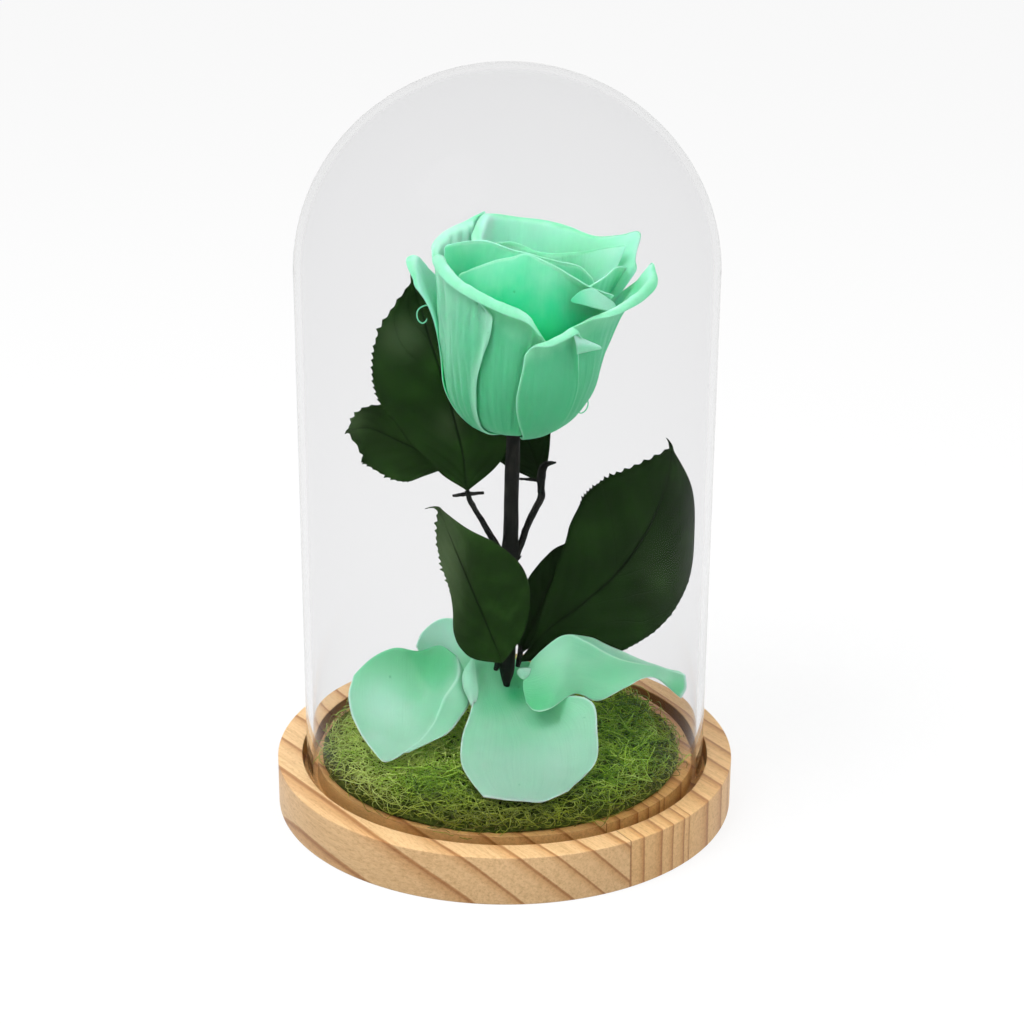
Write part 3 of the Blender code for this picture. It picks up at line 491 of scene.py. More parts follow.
# The stem and the leaf stalks: runs of points, each with its radius last
STEM = [
    (0, 0, 6.8, 2.2), (0.2, 0, 20, 1.3), (0.4, 0, 29.6, 0.8), (0.4, 0, 34, 1.75), (0.4, 0, 38, 2.2),
    (0.6, 0, 48, 2.1), (0.9, 0, 60, 2.1), (1, 0, 68, 2.3), (1.2, 0, 73, 2), (1.4, 0, 84, 1.85),
    (1.6, 0, 94, 1.8), (1.9, 0, 100.8, 1.9), (2.4, 0, 103.4, 3.6), (2.8, 0, 109, 3.8), (3.2, 0, 114.5, 2),
]
STALKS = {
    "leaf_stalk_left": [
        [
            (0.2, 0.2, 66, 0.9), (-2.7, 0.4, 70.8, 0.9), (-6.1, 1.8, 76.3, 0.75), (-9.2, 3.4, 81.2, 0.7),
            (-10.1, 4.2, 83.8, 0.6),
        ],
        [(-13.7, 5.6, 81.8, 0.4), (-10.2, 4.2, 82.8, 0.55), (-5.7, 3.6, 83.4, 0.35)],
    ],
    "leaf_stalk_right": [
        [
            (1.6, 0.2, 64.6, 0.9), (3.6, 0.6, 69.8, 0.9), (6, 1.8, 76.4, 0.9), (8.9, 3.2, 82.2, 0.95),
            (9, 3.8, 84.8, 0.9),
        ],
        [(2.6, 0, 66.8, 0.7), (3.5, 0, 67, 0.4), (4, 0, 67.5, 0.15)],
        [(8.9, 3.7, 83.6, 0.95), (9, 3.2, 87.6, 1.1), (9.8, 2.4, 91.4, 0.9), (12.7, 2.2, 92.3, 0.25)],
        [(8.9, 3.3, 86.8, 0.4), (6.1, 4.2, 86.9, 0.4), (3.4, 4.6, 86.9, 0.3)],
    ],
    "leaf_stalk_lower": [
        [(3.2, 1.8, 35.4, 0.7), (3.7, 2.2, 37.4, 0.75), (4.1, 2.4, 39.6, 0.65)],
        [(3.4, 2.2, 36.2, 0.6), (3.8, 4, 38, 0.6), (3.9, 5.2, 39.8, 0.5)],
    ],
    "leaf_stalk_lower_left": [[(-2.4, -2, 36.4, 0.7), (-2, -2.9, 39, 0.7), (-1.7, -3.4, 41.4, 0.6)]],
}


def srgb(red, green, blue):
    """The linear colour that a picture stores as these 0 to 255 values."""
    levels = []
    for value in (red, green, blue):
        share = value / 255
        levels.append(share / 12.92 if share <= 0.04045 else ((share + 0.055) / 1.055) ** 2.4)
    return (*levels, 1.0)


# Node trees

class Flow:
    """A node's output. Arithmetic and comparisons on it add Math nodes to its tree."""

    def __init__(self, tree, socket):
        self.tree = tree
        self.socket = socket

    def __add__(self, other):
        return maths("ADD", self, other)

    def __sub__(self, other):
        return maths("SUBTRACT", self, other)

    def __rsub__(self, other):
        return maths("SUBTRACT", other, self)

    def __mul__(self, other):
        return maths("MULTIPLY", self, other)

    def __truediv__(self, other):
        return maths("DIVIDE", self, other)

    def __lt__(self, other):
        return maths("LESS_THAN", self, other)

    def __gt__(self, other):
        return maths("GREATER_THAN", self, other)

    def __abs__(self):
        return maths("ABSOLUTE", self)


def add_node(tree, kind, inputs=None, output=0, **settings):
    """An output of a new node; each input is set to a value or linked to another node's output."""
    node = tree.nodes.new(kind)
    for key, value in settings.items():
        setattr(node, key, value)
    for key, value in (inputs or {}).items():
        if isinstance(value, Flow):
            tree.links.new(value.socket, node.inputs[key])
        else:
            node.inputs[key].default_value = value
    return Flow(tree, node.outputs[output])


def shared_tree(*values):
    """The tree of the first flow among the values."""
    return next(value.tree for value in values if isinstance(value, Flow))


def maths(operation, first, second=0.0):
    inputs = {0: first, 1: second}
    return add_node(shared_tree(first, second), "ShaderNodeMath", inputs, operation=operation)


def vector_maths(operation, first, second=(0.0, 0.0, 0.0), output=0):
    return add_node(first.tree, "ShaderNodeVectorMath", {0: first, 1: second}, output, operation=operation)


def shift_by(noise_colour, size):
    """A noise's colour made a shift that goes to every side."""
    centred = vector_maths("SUBTRACT", noise_colour, (0.5, 0.5, 0.5))
    return add_node(centred.tree, "ShaderNodeVectorMath", {0: centred, "Scale": size}, operation="SCALE")


def axes(vector):
    """The X, Y and Z of a vector."""
    node = add_node(vector.tree, "ShaderNodeSeparateXYZ", {0: vector}).socket.node
    return [Flow(vector.tree, socket) for socket in node.outputs]


def ramp(factor, *stops):
    """The colour of a ramp whose stops are (place, level) or (place, red, green, blue)."""
    colour = add_node(factor.tree, "ShaderNodeValToRGB", {"Fac": factor}, "Color")
    elements = colour.socket.node.color_ramp.elements
    while len(elements) < len(stops):
        elements.new(0.5)
    for element, (place, *levels) in zip(elements, stops):
        element.position = place
        element.color = (*(levels * 3)[:3], 1.0)
    return colour


def tones(factor, *stops):
    """The colour of a ramp whose stops are (place, red, green, blue) as a picture stores them."""
    return ramp(factor, *[(place, *srgb(*colour)[:3]) for place, *colour in stops])


def grain_noise(vector, scale, detail=2.0, roughness=0.5, output="Fac"):
    """A noise texture; scale counts lumps in a metre."""
    inputs = {"Vector": vector, "Scale": scale, "Detail": detail, "Roughness": roughness}
    return add_node(vector.tree, "ShaderNodeTexNoise", inputs, output)


def stretch(vector, scale, turn=(0.0, 0.0, 0.0)):
    """The coordinates turned and stretched for a grain that runs one way."""
    return add_node(vector.tree, "ShaderNodeMapping", {"Vector": vector, "Rotation": turn, "Scale": scale})


def mix_colours(factor, first, second, blend="MIX"):
    inputs = {0: factor, 6: first, 7: second}
    tree = shared_tree(factor, first, second)
    return add_node(tree, "ShaderNodeMix", inputs, 2, data_type="RGBA", blend_type=blend)


def object_place(tree):
    return add_node(tree, "ShaderNodeTexCoord", output="Object")


def sheet_place(tree):
    """A sheet's own UV map, and how far across and along it a point is."""
    uv = add_node(tree, "ShaderNodeUVMap", uv_map="sheet")
    return [uv, *axes(uv)[:2]]


def mark(tree, name):
    """A mark that the mesh's points carry."""
    return add_node(tree, "ShaderNodeAttribute", output="Fac", attribute_name=name)


def new_finish(name, **sockets):
    """A material with its tree and shader; the sockets' underscores stand for spaces."""
    finish = bpy.data.materials.new(name)
    finish.use_nodes = True
    shader = finish.node_tree.nodes["Principled BSDF"]
    for key, value in sockets.items():
        shader.inputs[key.replace("_", " ")].default_value = value
    return finish, finish.node_tree, shader


def dress(shader, colour, height=None, distance=0.0):
    """The colour, and a bump of this height with its depth in millimetres, on the shader."""
    links = colour.tree.links
    links.new(colour.socket, shader.inputs["Base Color"])
    if height is not None:
        inputs = {"Height": height, "Distance": distance * MM, "Strength": 1.0}
        bump = add_node(colour.tree, "ShaderNodeBump", inputs)
        links.new(bump.socket, shader.inputs["Normal"])


def geometry_tree(name, output, **inputs):
    """A geometry tree and a flow from each of its named inputs."""
    tree = bpy.data.node_groups.new(name, "GeometryNodeTree")
    for label, kind in inputs.items():
        tree.interface.new_socket(label, in_out="INPUT", socket_type="NodeSocket" + kind)
    tree.interface.new_socket(output, in_out="OUTPUT", socket_type="NodeSocketGeometry")
    given = tree.nodes.new("NodeGroupInput").outputs
    return tree, {label: Flow(tree, given[label]) for label in inputs}


def end_tree(geometry, finish):
    """The tree's last nodes: real geometry with its finish."""
    tree = geometry.tree
    real = add_node(tree, "GeometryNodeRealizeInstances", {"Geometry": geometry})
    painted = add_node(tree, "GeometryNodeSetMaterial", {"Geometry": real, "Material": finish})
    output = tree.nodes.new("NodeGroupOutput")
    tree.links.new(painted.socket, output.inputs[0])


def bake_tree(name, mesh, tree, values):
    """The mesh that a geometry tree makes of the given one."""
    holder = bpy.data.objects.new(name + "_holder", mesh)
    bpy.context.scene.collection.objects.link(holder)
    modifier = holder.modifiers.new("Tree", "NODES")
    modifier.node_group = tree
    keys = {item.name: item.identifier for item in tree.interface.items_tree if item.in_out == "INPUT"}
    for label, value in values.items():
        modifier[keys[label]] = value
    evaluated = holder.evaluated_get(bpy.context.evaluated_depsgraph_get())
    baked = bpy.data.meshes.new_from_object(evaluated)
    baked.name = name
    bpy.data.objects.remove(holder, do_unlink=True)
    return baked


# Curves, grids and meshes

def curve_at(points, share):
    """Points of a smooth curve through the given ones, at shares from 0 to 1 of the way along."""
    points = np.asarray(points, float)
    share = np.asarray(share, float)
    padded = np.concatenate([2 * points[:1] - points[1:2], points, 2 * points[-1:] - points[-2:-1]])
    place = np.clip(share, 0, 1) * (len(points) - 1)
    start = np.minimum(place.astype(int), len(points) - 2)
    rest = (place - start)[..., None]
    before, left, right, after = (padded[start + i] for i in range(4))
    return 0.5 * (
        2 * left
        + (right - before) * rest
        + (2 * before - 5 * left + 4 * right - after) * rest**2
        + (3 * left - before - 3 * right + after) * rest**3
    )


def creased_at(points, crease, count):
    """Points of a curve that turns sharply at one of the given points, if it has a crease there."""
    share = np.linspace(0, 1, count)
    if crease is None:
        return curve_at(points, share)
    place = share * (len(points) - 1)
    before = curve_at(points[:crease + 1], place / crease)
    after = curve_at(points[crease:], (place - crease) / (len(points) - 1 - crease))
    return np.where((place <= crease)[:, None], before, after)


def smooth_grid(rows, count_along, count_across, crease=None):
    """Points of a smooth sheet through rows of given points."""
    across = np.stack([creased_at(row, crease, count_across) for row in rows])
    along = np.linspace(0, 1, count_along)
    return np.stack([curve_at(across[:, j], along) for j in range(count_across)], axis=1)


def soft_noise(points, lump, seed):
    """Noise from about -1 to 1 at each point, with lumps of this size along each axis."""
    scaled = points / np.asarray(lump, float) + np.array([seed * 7.3, seed * 3.1, seed * 1.7])
    values = [noise.noise(Vector(point)) for point in scaled.reshape(-1, 3)]
    return np.array(values).reshape(points.shape[:-1]) * 1.6


def unit(vectors):
    return vectors / np.maximum(np.linalg.norm(vectors, axis=-1, keepdims=True), 1e-9)


def grid_normals(grid):
    return unit(np.cross(np.gradient(grid, axis=1), np.gradient(grid, axis=0)))


def marked_places(grid, places):
    """How near each point of a grid is to the given places, from 0 to each one's own strength."""
    near_most = 0 * grid[..., 0]
    for centre, reach, strength, *sharp_side in places:
        away = np.linalg.norm((grid - centre) / np.array(reach), axis=-1)
        near = strength * np.exp(-(away**2))
        for border, inwards, softness in sharp_side:
            near = near * np.clip((grid - border) @ np.array(inwards) / softness, 0, 1)
        near_most = np.maximum(near_most, near)
    return near_most


def sheet_parts(middle, thickness, pale_from=0.0, crest=0.0, painted_shade=0.0):
    """A closed thin sheet round a grid of points, thinner at its margins: points, faces, UVs and marks.

    The marks of a point say whether it is on the side that looks away, how much painted light it has, and how
    much painted shade it has."""
    rows, columns = middle.shape[:2]
    along, across = np.meshgrid(np.linspace(0, 1, rows), np.linspace(0, 1, columns), indexing="ij")
    from_edge = np.minimum(np.minimum(across, 1 - across), 1 - along)
    taper = MARGIN_SHARE + (1 - MARGIN_SHARE) * np.clip(from_edge / MARGIN_WIDTH, 0, 1) ** 0.5
    lift = grid_normals(middle) * (0.5 * thickness * taper)[..., None]
    points = np.concatenate([(middle + lift).reshape(-1, 3), (middle - lift).reshape(-1, 3)])
    count = rows * columns
    index = np.arange(count).reshape(rows, columns)
    corners = (index[:-1, :-1], index[:-1, 1:], index[1:, 1:], index[1:, :-1])
    front = np.stack([corner.ravel() for corner in corners], axis=1)
    back = front[:, ::-1] + count
    loop = np.concatenate([index[0, :-1], index[:-1, -1], index[-1, :0:-1], index[:0:-1, 0]])
    after = np.roll(loop, -1)
    rim = np.stack([after, loop, loop + count, after + count], axis=1)
    place = np.stack([across.ravel(), pale_from + (1 - pale_from) * along.ravel()], axis=1)
    sides = [np.tile(np.broadcast_to(given, (rows, columns)).ravel(), 2) for given in (crest, painted_shade)]
    marks = np.stack([np.repeat([0.0, 1.0], count), *sides], axis=1)
    return points, np.concatenate([front, back, rim]), np.concatenate([place, place]), marks


def thread_parts(path, radius, sides=8):
    """A fine closed tube along a path, with the UVs of a petal's rim, whose tones are partly painted light.
    """
    share = np.linspace(0, 1, 8 * len(path))
    width = radius * np.clip(8 * np.minimum(share + 0.02, 1.02 - share), 0.1, 1)
    rings = tube_points(curve_at(path, share), width, sides)
    count = len(share)
    index = np.arange(count * sides).reshape(count, sides)
    after = np.roll(index, -1, axis=1)
    corners = (index[:-1], after[:-1], after[1:], index[1:])
    walls = np.stack([corner.ravel() for corner in corners], axis=1)
    ends = []
    for ring in (index[0], index[-1][::-1]):
        ends += [(ring[k], ring[k + 1], ring[-k - 2], ring[-k - 1]) for k in range(sides // 2 - 1)]
    place = np.tile([0.5, 0.7], (count * sides, 1))
    return rings.reshape(-1, 3), np.concatenate([walls, ends]), place, np.zeros((count * sides, 3))


def joined_mesh(name, *parts):
    """One mesh of closed parts, with their UV map and marks."""
    all_points, all_faces, all_places, all_marks = zip(*parts)
    firsts = np.cumsum([0] + [len(points) for points in all_points[:-1]])
    faces = np.concatenate([part + first for part, first in zip(all_faces, firsts)])
    mesh = bpy.data.meshes.new(name)
    mesh.from_pydata((np.concatenate(all_points) * MM).tolist(), [], faces.tolist())
    marks = np.concatenate(all_marks)
    for column, label in enumerate(("far_side", "crest", "painted_shade")):
        mesh.attributes.new(label, "FLOAT", "POINT").data.foreach_set("value", marks[:, column])
    layer = mesh.uv_layers.new(name="sheet")
    layer.data.foreach_set("uv", np.concatenate(all_places)[faces.ravel()].ravel())
    return mesh


def tube_points(path, radii, sides):
    """Rings of points round a path: an array of rings by sides."""
    along = unit(np.gradient(path, axis=0))
    across = unit(np.cross(along, (0.05, 1.0, 0.02)))
    up = np.cross(across, along)
    turn = np.linspace(0, math.tau, sides, endpoint=False)[None, :, None]
    spread = across[:, None] * np.cos(turn) + up[:, None] * np.sin(turn)
    return path[:, None] + spread * radii[:, None, None]


def add_vertices(bm, rings):
    return [[bm.verts.new(point * MM) for point in ring] for ring in rings]


def add_wall(bm, rings):
    """Faces from each ring of vertices to the next one."""
    for lower, upper in zip(rings, rings[1:]):
        for k in range(len(lower)):
            after = (k + 1) % len(lower)
            bm.faces.new((lower[k], lower[after], upper[after], upper[k]))


def finished_mesh(bm, name):
    """The mesh of what was built, with its faces outwards."""
    bmesh.ops.recalc_face_normals(bm, faces=bm.faces)
    mesh = bpy.data.meshes.new(name)
    bm.to_mesh(mesh)
    bm.free()
    return mesh


def finish_piece(name, mesh, material, nodes=(), sharp_angle=None):
    """The mesh as a shown piece on the part's one body, in place of its CAD nodes."""
    if mesh.materials:
        mesh.materials[0] = material
    else:
        mesh.materials.append(material)
    mesh.shade_smooth()
    if sharp_angle is not None:
        mesh.set_sharp_from_angle(angle=math.radians(sharp_angle))
    piece = bpy.data.objects.new(name, mesh)
    bpy.context.scene.collection.objects.link(piece)
    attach(piece, "root")
    if nodes:
        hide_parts(*nodes)


# Turned pieces: one tree spins a profile into the base and the dome

def turning_tree():
    tree, given = geometry_tree("Turning", "Piece", Profile="Geometry", Segments="Int", Finish="Material")
    profile = {"Geometry": given["Profile"]}
    count = add_node(tree, "GeometryNodeAttributeDomainSize", profile, "Point Count")
    sizes = {"Size X": 1.0, "Size Y": 1.0, "Vertices X": count, "Vertices Y": given["Segments"] + 1.0}
    grid = add_node(tree, "GeometryNodeMeshGrid", sizes, "Mesh")
    position = add_node(tree, "GeometryNodeInputPosition")
    x, y, _ = axes(position)
    step = maths("ROUND", (x + 0.5) * (count - 1.0))
    source = {**profile, "Value": position, "Index": step}
    radius, _, height = axes(add_node(tree, "GeometryNodeSampleIndex", source, data_type="FLOAT_VECTOR"))
    turn = (y + 0.5) * math.tau
    around = {"X": radius * maths("COSINE", turn), "Y": radius * maths("SINE", turn), "Z": height}
    spun = add_node(tree, "ShaderNodeCombineXYZ", around)
    placed = add_node(tree, "GeometryNodeSetPosition", {"Geometry": grid, "Position": spun})
    merged = add_node(tree, "GeometryNodeMergeByDistance", {"Geometry": placed, "Distance": 0.001 * MM})
    end_tree(merged, given["Finish"])
    return tree


def rounded(corner, before, after, radius, steps=4):
    """Points of a small arc that takes the corner off a profile."""
    corner, before, after = (np.array(point, float) for point in (corner, before, after))
    start = corner + unit(before - corner) * radius
    end = corner + unit(after - corner) * radius
    shares = np.linspace(0, 1, steps + 1)[:, None]
    arc = start * (1 - shares) ** 2 + 2 * corner * shares * (1 - shares) + end * shares**2
    return [tuple(point) for point in arc]


def base_profile():
    corners = [
        (0, 0, 0),
        (BASE_RADIUS, 0, BASE_EDGE),
        (BASE_RADIUS, BASE_HEIGHT, BASE_EDGE),
        (GROOVE_OUTER, BASE_HEIGHT, GROOVE_EDGE),
        (GROOVE_OUTER, GROOVE_FLOOR, GROOVE_EDGE),
        (GROOVE_INNER, GROOVE_FLOOR, GROOVE_EDGE),
        (GROOVE_INNER, BASE_HEIGHT, GROOVE_EDGE),
        (SOCKET_RADIUS, BASE_HEIGHT, GROOVE_EDGE),
        (SOCKET_RADIUS, SOCKET_FLOOR, GROOVE_EDGE),
        (0, SOCKET_FLOOR, 0),
    ]
    profile = [corners[0][:2]]
    for before, (radius, height, edge), after in zip(corners, corners[1:], corners[2:]):
        profile += rounded((radius, height), before[:2], after[:2], edge)
    return [*profile, corners[-1][:2]]


def dome_profile():
    shoulder = DOME_TOP - DOME_TOP_RATIO * DOME_RADIUS
    inner_radius = DOME_RADIUS - DOME_WALL
    turns = np.linspace(0, math.pi / 2, DOME_ARCS + 1)
    outside, inside = (
        [(radius * math.cos(turn), shoulder + rise * math.sin(turn)) for turn in turns]
        for radius, rise in (
            (DOME_RADIUS, DOME_TOP_RATIO * DOME_RADIUS),
            (inner_radius, DOME_TOP - DOME_WALL - shoulder),
        )
    )
    walls = [(1 - share) * shoulder + share * (DOME_FOOT + DOME_WALL) for share in np.linspace(0, 1, 9)[1:]]
    foot_centre = (DOME_RADIUS + inner_radius) / 2
    rim = [
        (foot_centre - DOME_WALL / 2 * math.cos(turn), DOME_FOOT + DOME_WALL / 2 * (1 - math.sin(turn)))
        for turn in np.linspace(0, math.pi, 9)[1:-1]
    ]
    inner_wall = [(inner_radius, height) for height in walls]
    outer_wall = [(DOME_RADIUS, height) for height in reversed(walls)]
    return [*reversed(inside), *inner_wall, *rim, *outer_wall, *outside]


# Finishes

def ring_share(place, normal, stops):
    """How far a point is through its growth ring: stops are (millimetres along the normal, rings)."""
    low, high = stops[0][0] * MM, stops[-1][0] * MM
    share = (vector_maths("DOT_PRODUCT", place, normal, "Value") - low) / (high - low)
    level = ramp(share, *[((at * MM - low) / (high - low), rings / MOST_RINGS) for at, rings in stops])
    red = add_node(place.tree, "ShaderNodeSeparateColor", {0: level})
    return maths("FRACT", red * MOST_RINGS)


def pine_finish():
    """Two pine boards glued edge to edge: slanting rings in the left one, upright rings in the right one."""
    finish, tree, shader = new_finish("pine", Roughness=0.5, Coat_Weight=0.06, Coat_Roughness=0.35)
    place = object_place(tree)
    bent = vector_maths("ADD", place, shift_by(grain_noise(place, 26.0, 1.0, output="Color"), RING_WARP * MM))
    left_tone = tones(
        ring_share(bent, LEFT_BOARD_NORMAL, LEFT_BOARD_RINGS),
        (0.0, 242, 204, 152), (0.62, 240, 200, 148), (0.86, 222, 174, 120),
        (0.93, 176, 122, 72), (0.97, 196, 144, 92), (1.0, 242, 204, 152),
    )
    right_tone = tones(
        ring_share(bent, RIGHT_BOARD_NORMAL, RIGHT_BOARD_RINGS),
        (0.0, 240, 198, 140), (0.5, 236, 192, 134), (0.8, 216, 164, 106),
        (0.94, 178, 120, 70), (1.0, 238, 196, 138),
    )
    from_seam = vector_maths("DOT_PRODUCT", place, RIGHT_BOARD_NORMAL, "Value") - BOARD_SEAM * MM
    colour = mix_colours(from_seam > 0.0, left_tone, right_tone)
    on_seam = abs(from_seam) < SEAM_HALF_WIDTH * MM
    colour = mix_colours(on_seam * 0.6, colour, srgb(150, 100, 58))
    grain = stretch(bent, (1.0, 1.0, 1.0), (0.0, 0.0, 0.93))
    fibre = grain_noise(stretch(grain, (45.0, 1100.0, 1100.0)), 1.0, 3.0, 0.65)
    speck = grain_noise(stretch(grain, (700.0, 1900.0, 1900.0)), 1.0, 2.0, 0.6)
    for strength, layer in (
        (0.85, ramp(fibre, (0.3, 0.84, 0.78, 0.7), (0.6, 1.04, 1.03, 1.02))),
        (0.5, ramp(speck, (0.32, 0.72, 0.64, 0.54), (0.5, 1.0))),
        (0.8, ramp(grain_noise(place, 30.0), (0.3, 0.95, 0.92, 0.88), (0.7, 1.03, 1.02, 1.0))),
    ):
        colour = mix_colours(strength, colour, layer, "MULTIPLY")
    # The groove is tinted olive-brown, partly moss dust and partly painted shade, and painted shade darkens
    # its outer wall most; the plateau under the moss is darkened too, partly dust and partly painted shade.
    radius = vector_maths("LENGTH", vector_maths("MULTIPLY", place, (1.0, 1.0, 0.0)), output="Value")
    low = axes(place)[2] < (BASE_HEIGHT - 0.3) * MM
    in_groove = low * (radius < (GROOVE_OUTER + 0.1) * MM)
    groove_dust_and_shade = mix_colours(radius > GROOVE_SHADE_RADIUS * MM, (1.0, 0.88, 0.62, 1), (0.5, 0.42, 0.26, 1))
    colour = mix_colours(in_groove, colour, groove_dust_and_shade, "MULTIPLY")
    plateau_dust_and_shade = (radius < GROOVE_INNER * MM) * (1.0 - in_groove)
    colour = mix_colours(plateau_dust_and_shade, colour, (0.86, 0.74, 0.5, 1), "MULTIPLY")
    dress(shader, colour, fibre + speck * 0.5, 0.12)
    return finish


def glass_finish():
    """Clear glass that darkens slightly where the eye looks along its wall."""
    finish, tree, _ = new_finish(
        "clear_glass",
        Base_Color=(0.93, 0.93, 0.934, 1.0),
        Roughness=0.0,
        IOR=GLASS_IOR,
        Transmission_Weight=1.0,
    )
    inputs = {"Color": (0.0, 0.0, 0.0, 1.0), "Density": GLASS_ABSORPTION}
    absorbed = add_node(tree, "ShaderNodeVolumeAbsorption", inputs)
    tree.links.new(absorbed.socket, tree.nodes["Material Output"].inputs["Volume"])
    return finish


def moss_bed_finish():
    finish, tree, shader = new_finish("moss_bed", Roughness=0.95, Specular_IOR_Level=0.1)
    tangle = grain_noise(object_place(tree), 900.0, 4.0, 0.7)
    dress(shader, tones(tangle, (0.35, 50, 56, 20), (0.6, 84, 98, 32), (0.8, 126, 142, 48)), tangle, 0.8)
    return finish


def moss_fibre_finish():
    """Dried moss: each fibre has its own green, yellower at the left as painted light, and olive low down and
    in front, partly its own colour and partly a painted reflection of the wood.
    """
    finish, tree, shader = new_finish("moss_fibre", Roughness=0.75, Specular_IOR_Level=0.2, Sheen_Weight=0.15)
    place = object_place(tree)
    x, y, z = axes(place)
    own = mark(tree, "fibre_shade")
    from_gloom = vector_maths("DISTANCE", place, MOSS_GLOOM, "Value")
    gloom = maths("MAXIMUM", 1.0 - from_gloom / MOSS_GLOOM_REACH, 0.0)
    # Painted light: the moss is made paler towards the left, where the lamp and the glass's haze fall; it is
    # darker round its gloom.
    left_light_and_gloom = x * -7.6 - gloom * 0.55
    shade = own * 0.6 + grain_noise(place, 85.0) * 1.1 + left_light_and_gloom - 0.17
    colour = tones(shade, (0.02, 64, 94, 38), (0.3, 122, 170, 44), (0.6, 176, 218, 66), (0.9, 222, 242, 128))
    # Olive low down and in front: partly the moss's own lower colour, partly a painted reflection of the wood
    # through the glass.
    olive = tones(own, (0.2, 104, 100, 20), (0.8, 168, 178, 46))
    low = ramp(z * 10.0, (0.15, 1), (0.172, 0))
    front = ramp(y * -10.0, (0.3, 0), (0.44, 0.8))
    dress(shader, mix_colours(maths("MAXIMUM", low, front), colour, olive))
    return finish


def bark_finish():
    finish, tree, shader = new_finish("stem_bark", Roughness=0.6, Specular_IOR_Level=0.12)
    place = object_place(tree)
    ridges = grain_noise(stretch(place, (1.0, 1.0, 0.18)), 1400.0, 3.0)
    both = ridges * grain_noise(place, 260.0)
    dress(shader, tones(both, (0.12, 12, 13, 11), (0.3, 24, 26, 22), (0.5, 46, 44, 38)), ridges, 0.25)
    return finish


def leaf_finish():
    """Preserved leaf: near-black green with a fine net, darker veins, painted shade on the leaves away from
    the light, and a soft grey shine that is a painted highlight.
    """
    finish, tree, shader = new_finish("leaf_green", Roughness=0.5, Specular_IOR_Level=0.03)
    place = object_place(tree)
    _, across, along = sheet_place(tree)
    from_rib = abs(across - 0.5)
    wave = along * 7.0 - from_rib * 5.0 + grain_noise(place, 60.0) * 0.7
    vein = 1.0 - abs(maths("FRACT", wave) - 0.5) * 26.0
    vein, rib = (add_node(tree, "ShaderNodeClamp", {0: line}) for line in (vein, 1.0 - from_rib * 46.0))
    lines = maths("MAXIMUM", vein * 0.4, rib)
    cells = {"Vector": place, "Scale": 800.0}
    net = add_node(tree, "ShaderNodeTexVoronoi", cells, "Distance", feature="DISTANCE_TO_EDGE")
    mottle = grain_noise(place, 120.0, 3.0)
    colour = tones(mottle, (0.3, 25, 45, 15), (0.55, 34, 60, 22), (0.75, 46, 78, 31))
    # Painted shade on leaves that lie away from the light, and a painted highlight where their shine falls.
    colour = mix_colours(mark(tree, "painted_shade"), colour, srgb(13, 30, 8))
    colour = mix_colours(mark(tree, "crest"), colour, srgb(96, 115, 82))
    colour = mix_colours(lines * 0.92, colour, srgb(9, 18, 7))
    dress(shader, colour, net * 0.3 - lines, 0.07)
    return finish


def petal_finish(name, outside, inside, rim_light_colour, rim_light_width, glow_depth):
    """Preserved petal: soft and glowing, with tones up each of its sides, fine veins that run up it, painted
    shade in its hollows, painted light on its crests and a painted highlight along its margins.
    """
    finish, tree, shader = new_finish(
        name,
        Roughness=0.6,
        Sheen_Weight=0.15,
        Sheen_Roughness=0.4,
        Sheen_Tint=(0.6, 1.0, 0.85, 1.0),
        Specular_IOR_Level=0.15,
        Subsurface_Weight=0.9,
        Subsurface_Radius=(0.6, 1.0, 0.82),
        Subsurface_Scale=glow_depth * MM,
    )
    place = object_place(tree)
    uv, across, along = sheet_place(tree)
    veins = grain_noise(stretch(uv, (70.0, 3.0, 1.0)), 1.0, 3.0, 0.6)
    rise = along + (grain_noise(place, 160.0) - 0.5) * 0.2
    colour = mix_colours(mark(tree, "far_side"), tones(rise, *outside), tones(rise, *inside))
    streak = ramp(veins, (0.3, 0.93, 0.95, 0.94), (0.6, 1.02, 1.01, 1.015))
    colour = mix_colours(0.8, colour, streak, "MULTIPLY")
    # Painted shade in the hollows, and painted light on crests and other lit places.
    colour = mix_colours(mark(tree, "painted_shade"), colour, srgb(66, 190, 128))
    colour = mix_colours(mark(tree, "crest"), colour, srgb(196, 246, 220))
    # Painted highlight: a paler colour along the petal's margins, as light catching its rims.
    inset = maths("MINIMUM", maths("MINIMUM", across, 1.0 - across), 1.0 - along)
    colour = mix_colours(ramp(inset, (0.0, 1), (rim_light_width, 0)), colour, srgb(*rim_light_colour))
    speck = ramp(grain_noise(place, 420.0, 1.0), (0.0, 1), (0.79, 1), (0.83, 0.66, 0.76, 0.68))
    colour = mix_colours(1.0, colour, speck, "MULTIPLY")
    dress(shader, colour, veins + grain_noise(place, 2600.0) * 0.25, 0.1)
    return finish


# Pieces

def add_turned(name, profile, segments, tree, finish, node, sharp_angle=None):
    line = bpy.data.meshes.new(name + "_profile")
    line.from_pydata([(radius * MM, 0, height * MM) for radius, height in profile], [], [])
    mesh = bake_tree(name, line, tree, {"Segments": segments, "Finish": finish})
    bm = bmesh.new()
    bm.from_mesh(mesh)
    bmesh.ops.remove_doubles(bm, verts=bm.verts, dist=0.002 * MM)
    bmesh.ops.recalc_face_normals(bm, faces=bm.faces)
    bm.to_mesh(mesh)
    bm.free()
    finish_piece(name, mesh, finish, [node], sharp_angle)


def moss_surface(radius, turn):
    """Height of the moss over the base's plateau, as the solid mat has it."""
    share = radius / MOSS_RADIUS
    tufts = 0.5 * np.sin(3 * turn + 0.6) * np.sin(5.5 * share) + 0.4 * np.cos(7 * turn + 9 * share)
    return MOSS_EDGE_HEIGHT + (MOSS_CROWN - MOSS_EDGE_HEIGHT) * (1 - share**2.4) + tufts * share


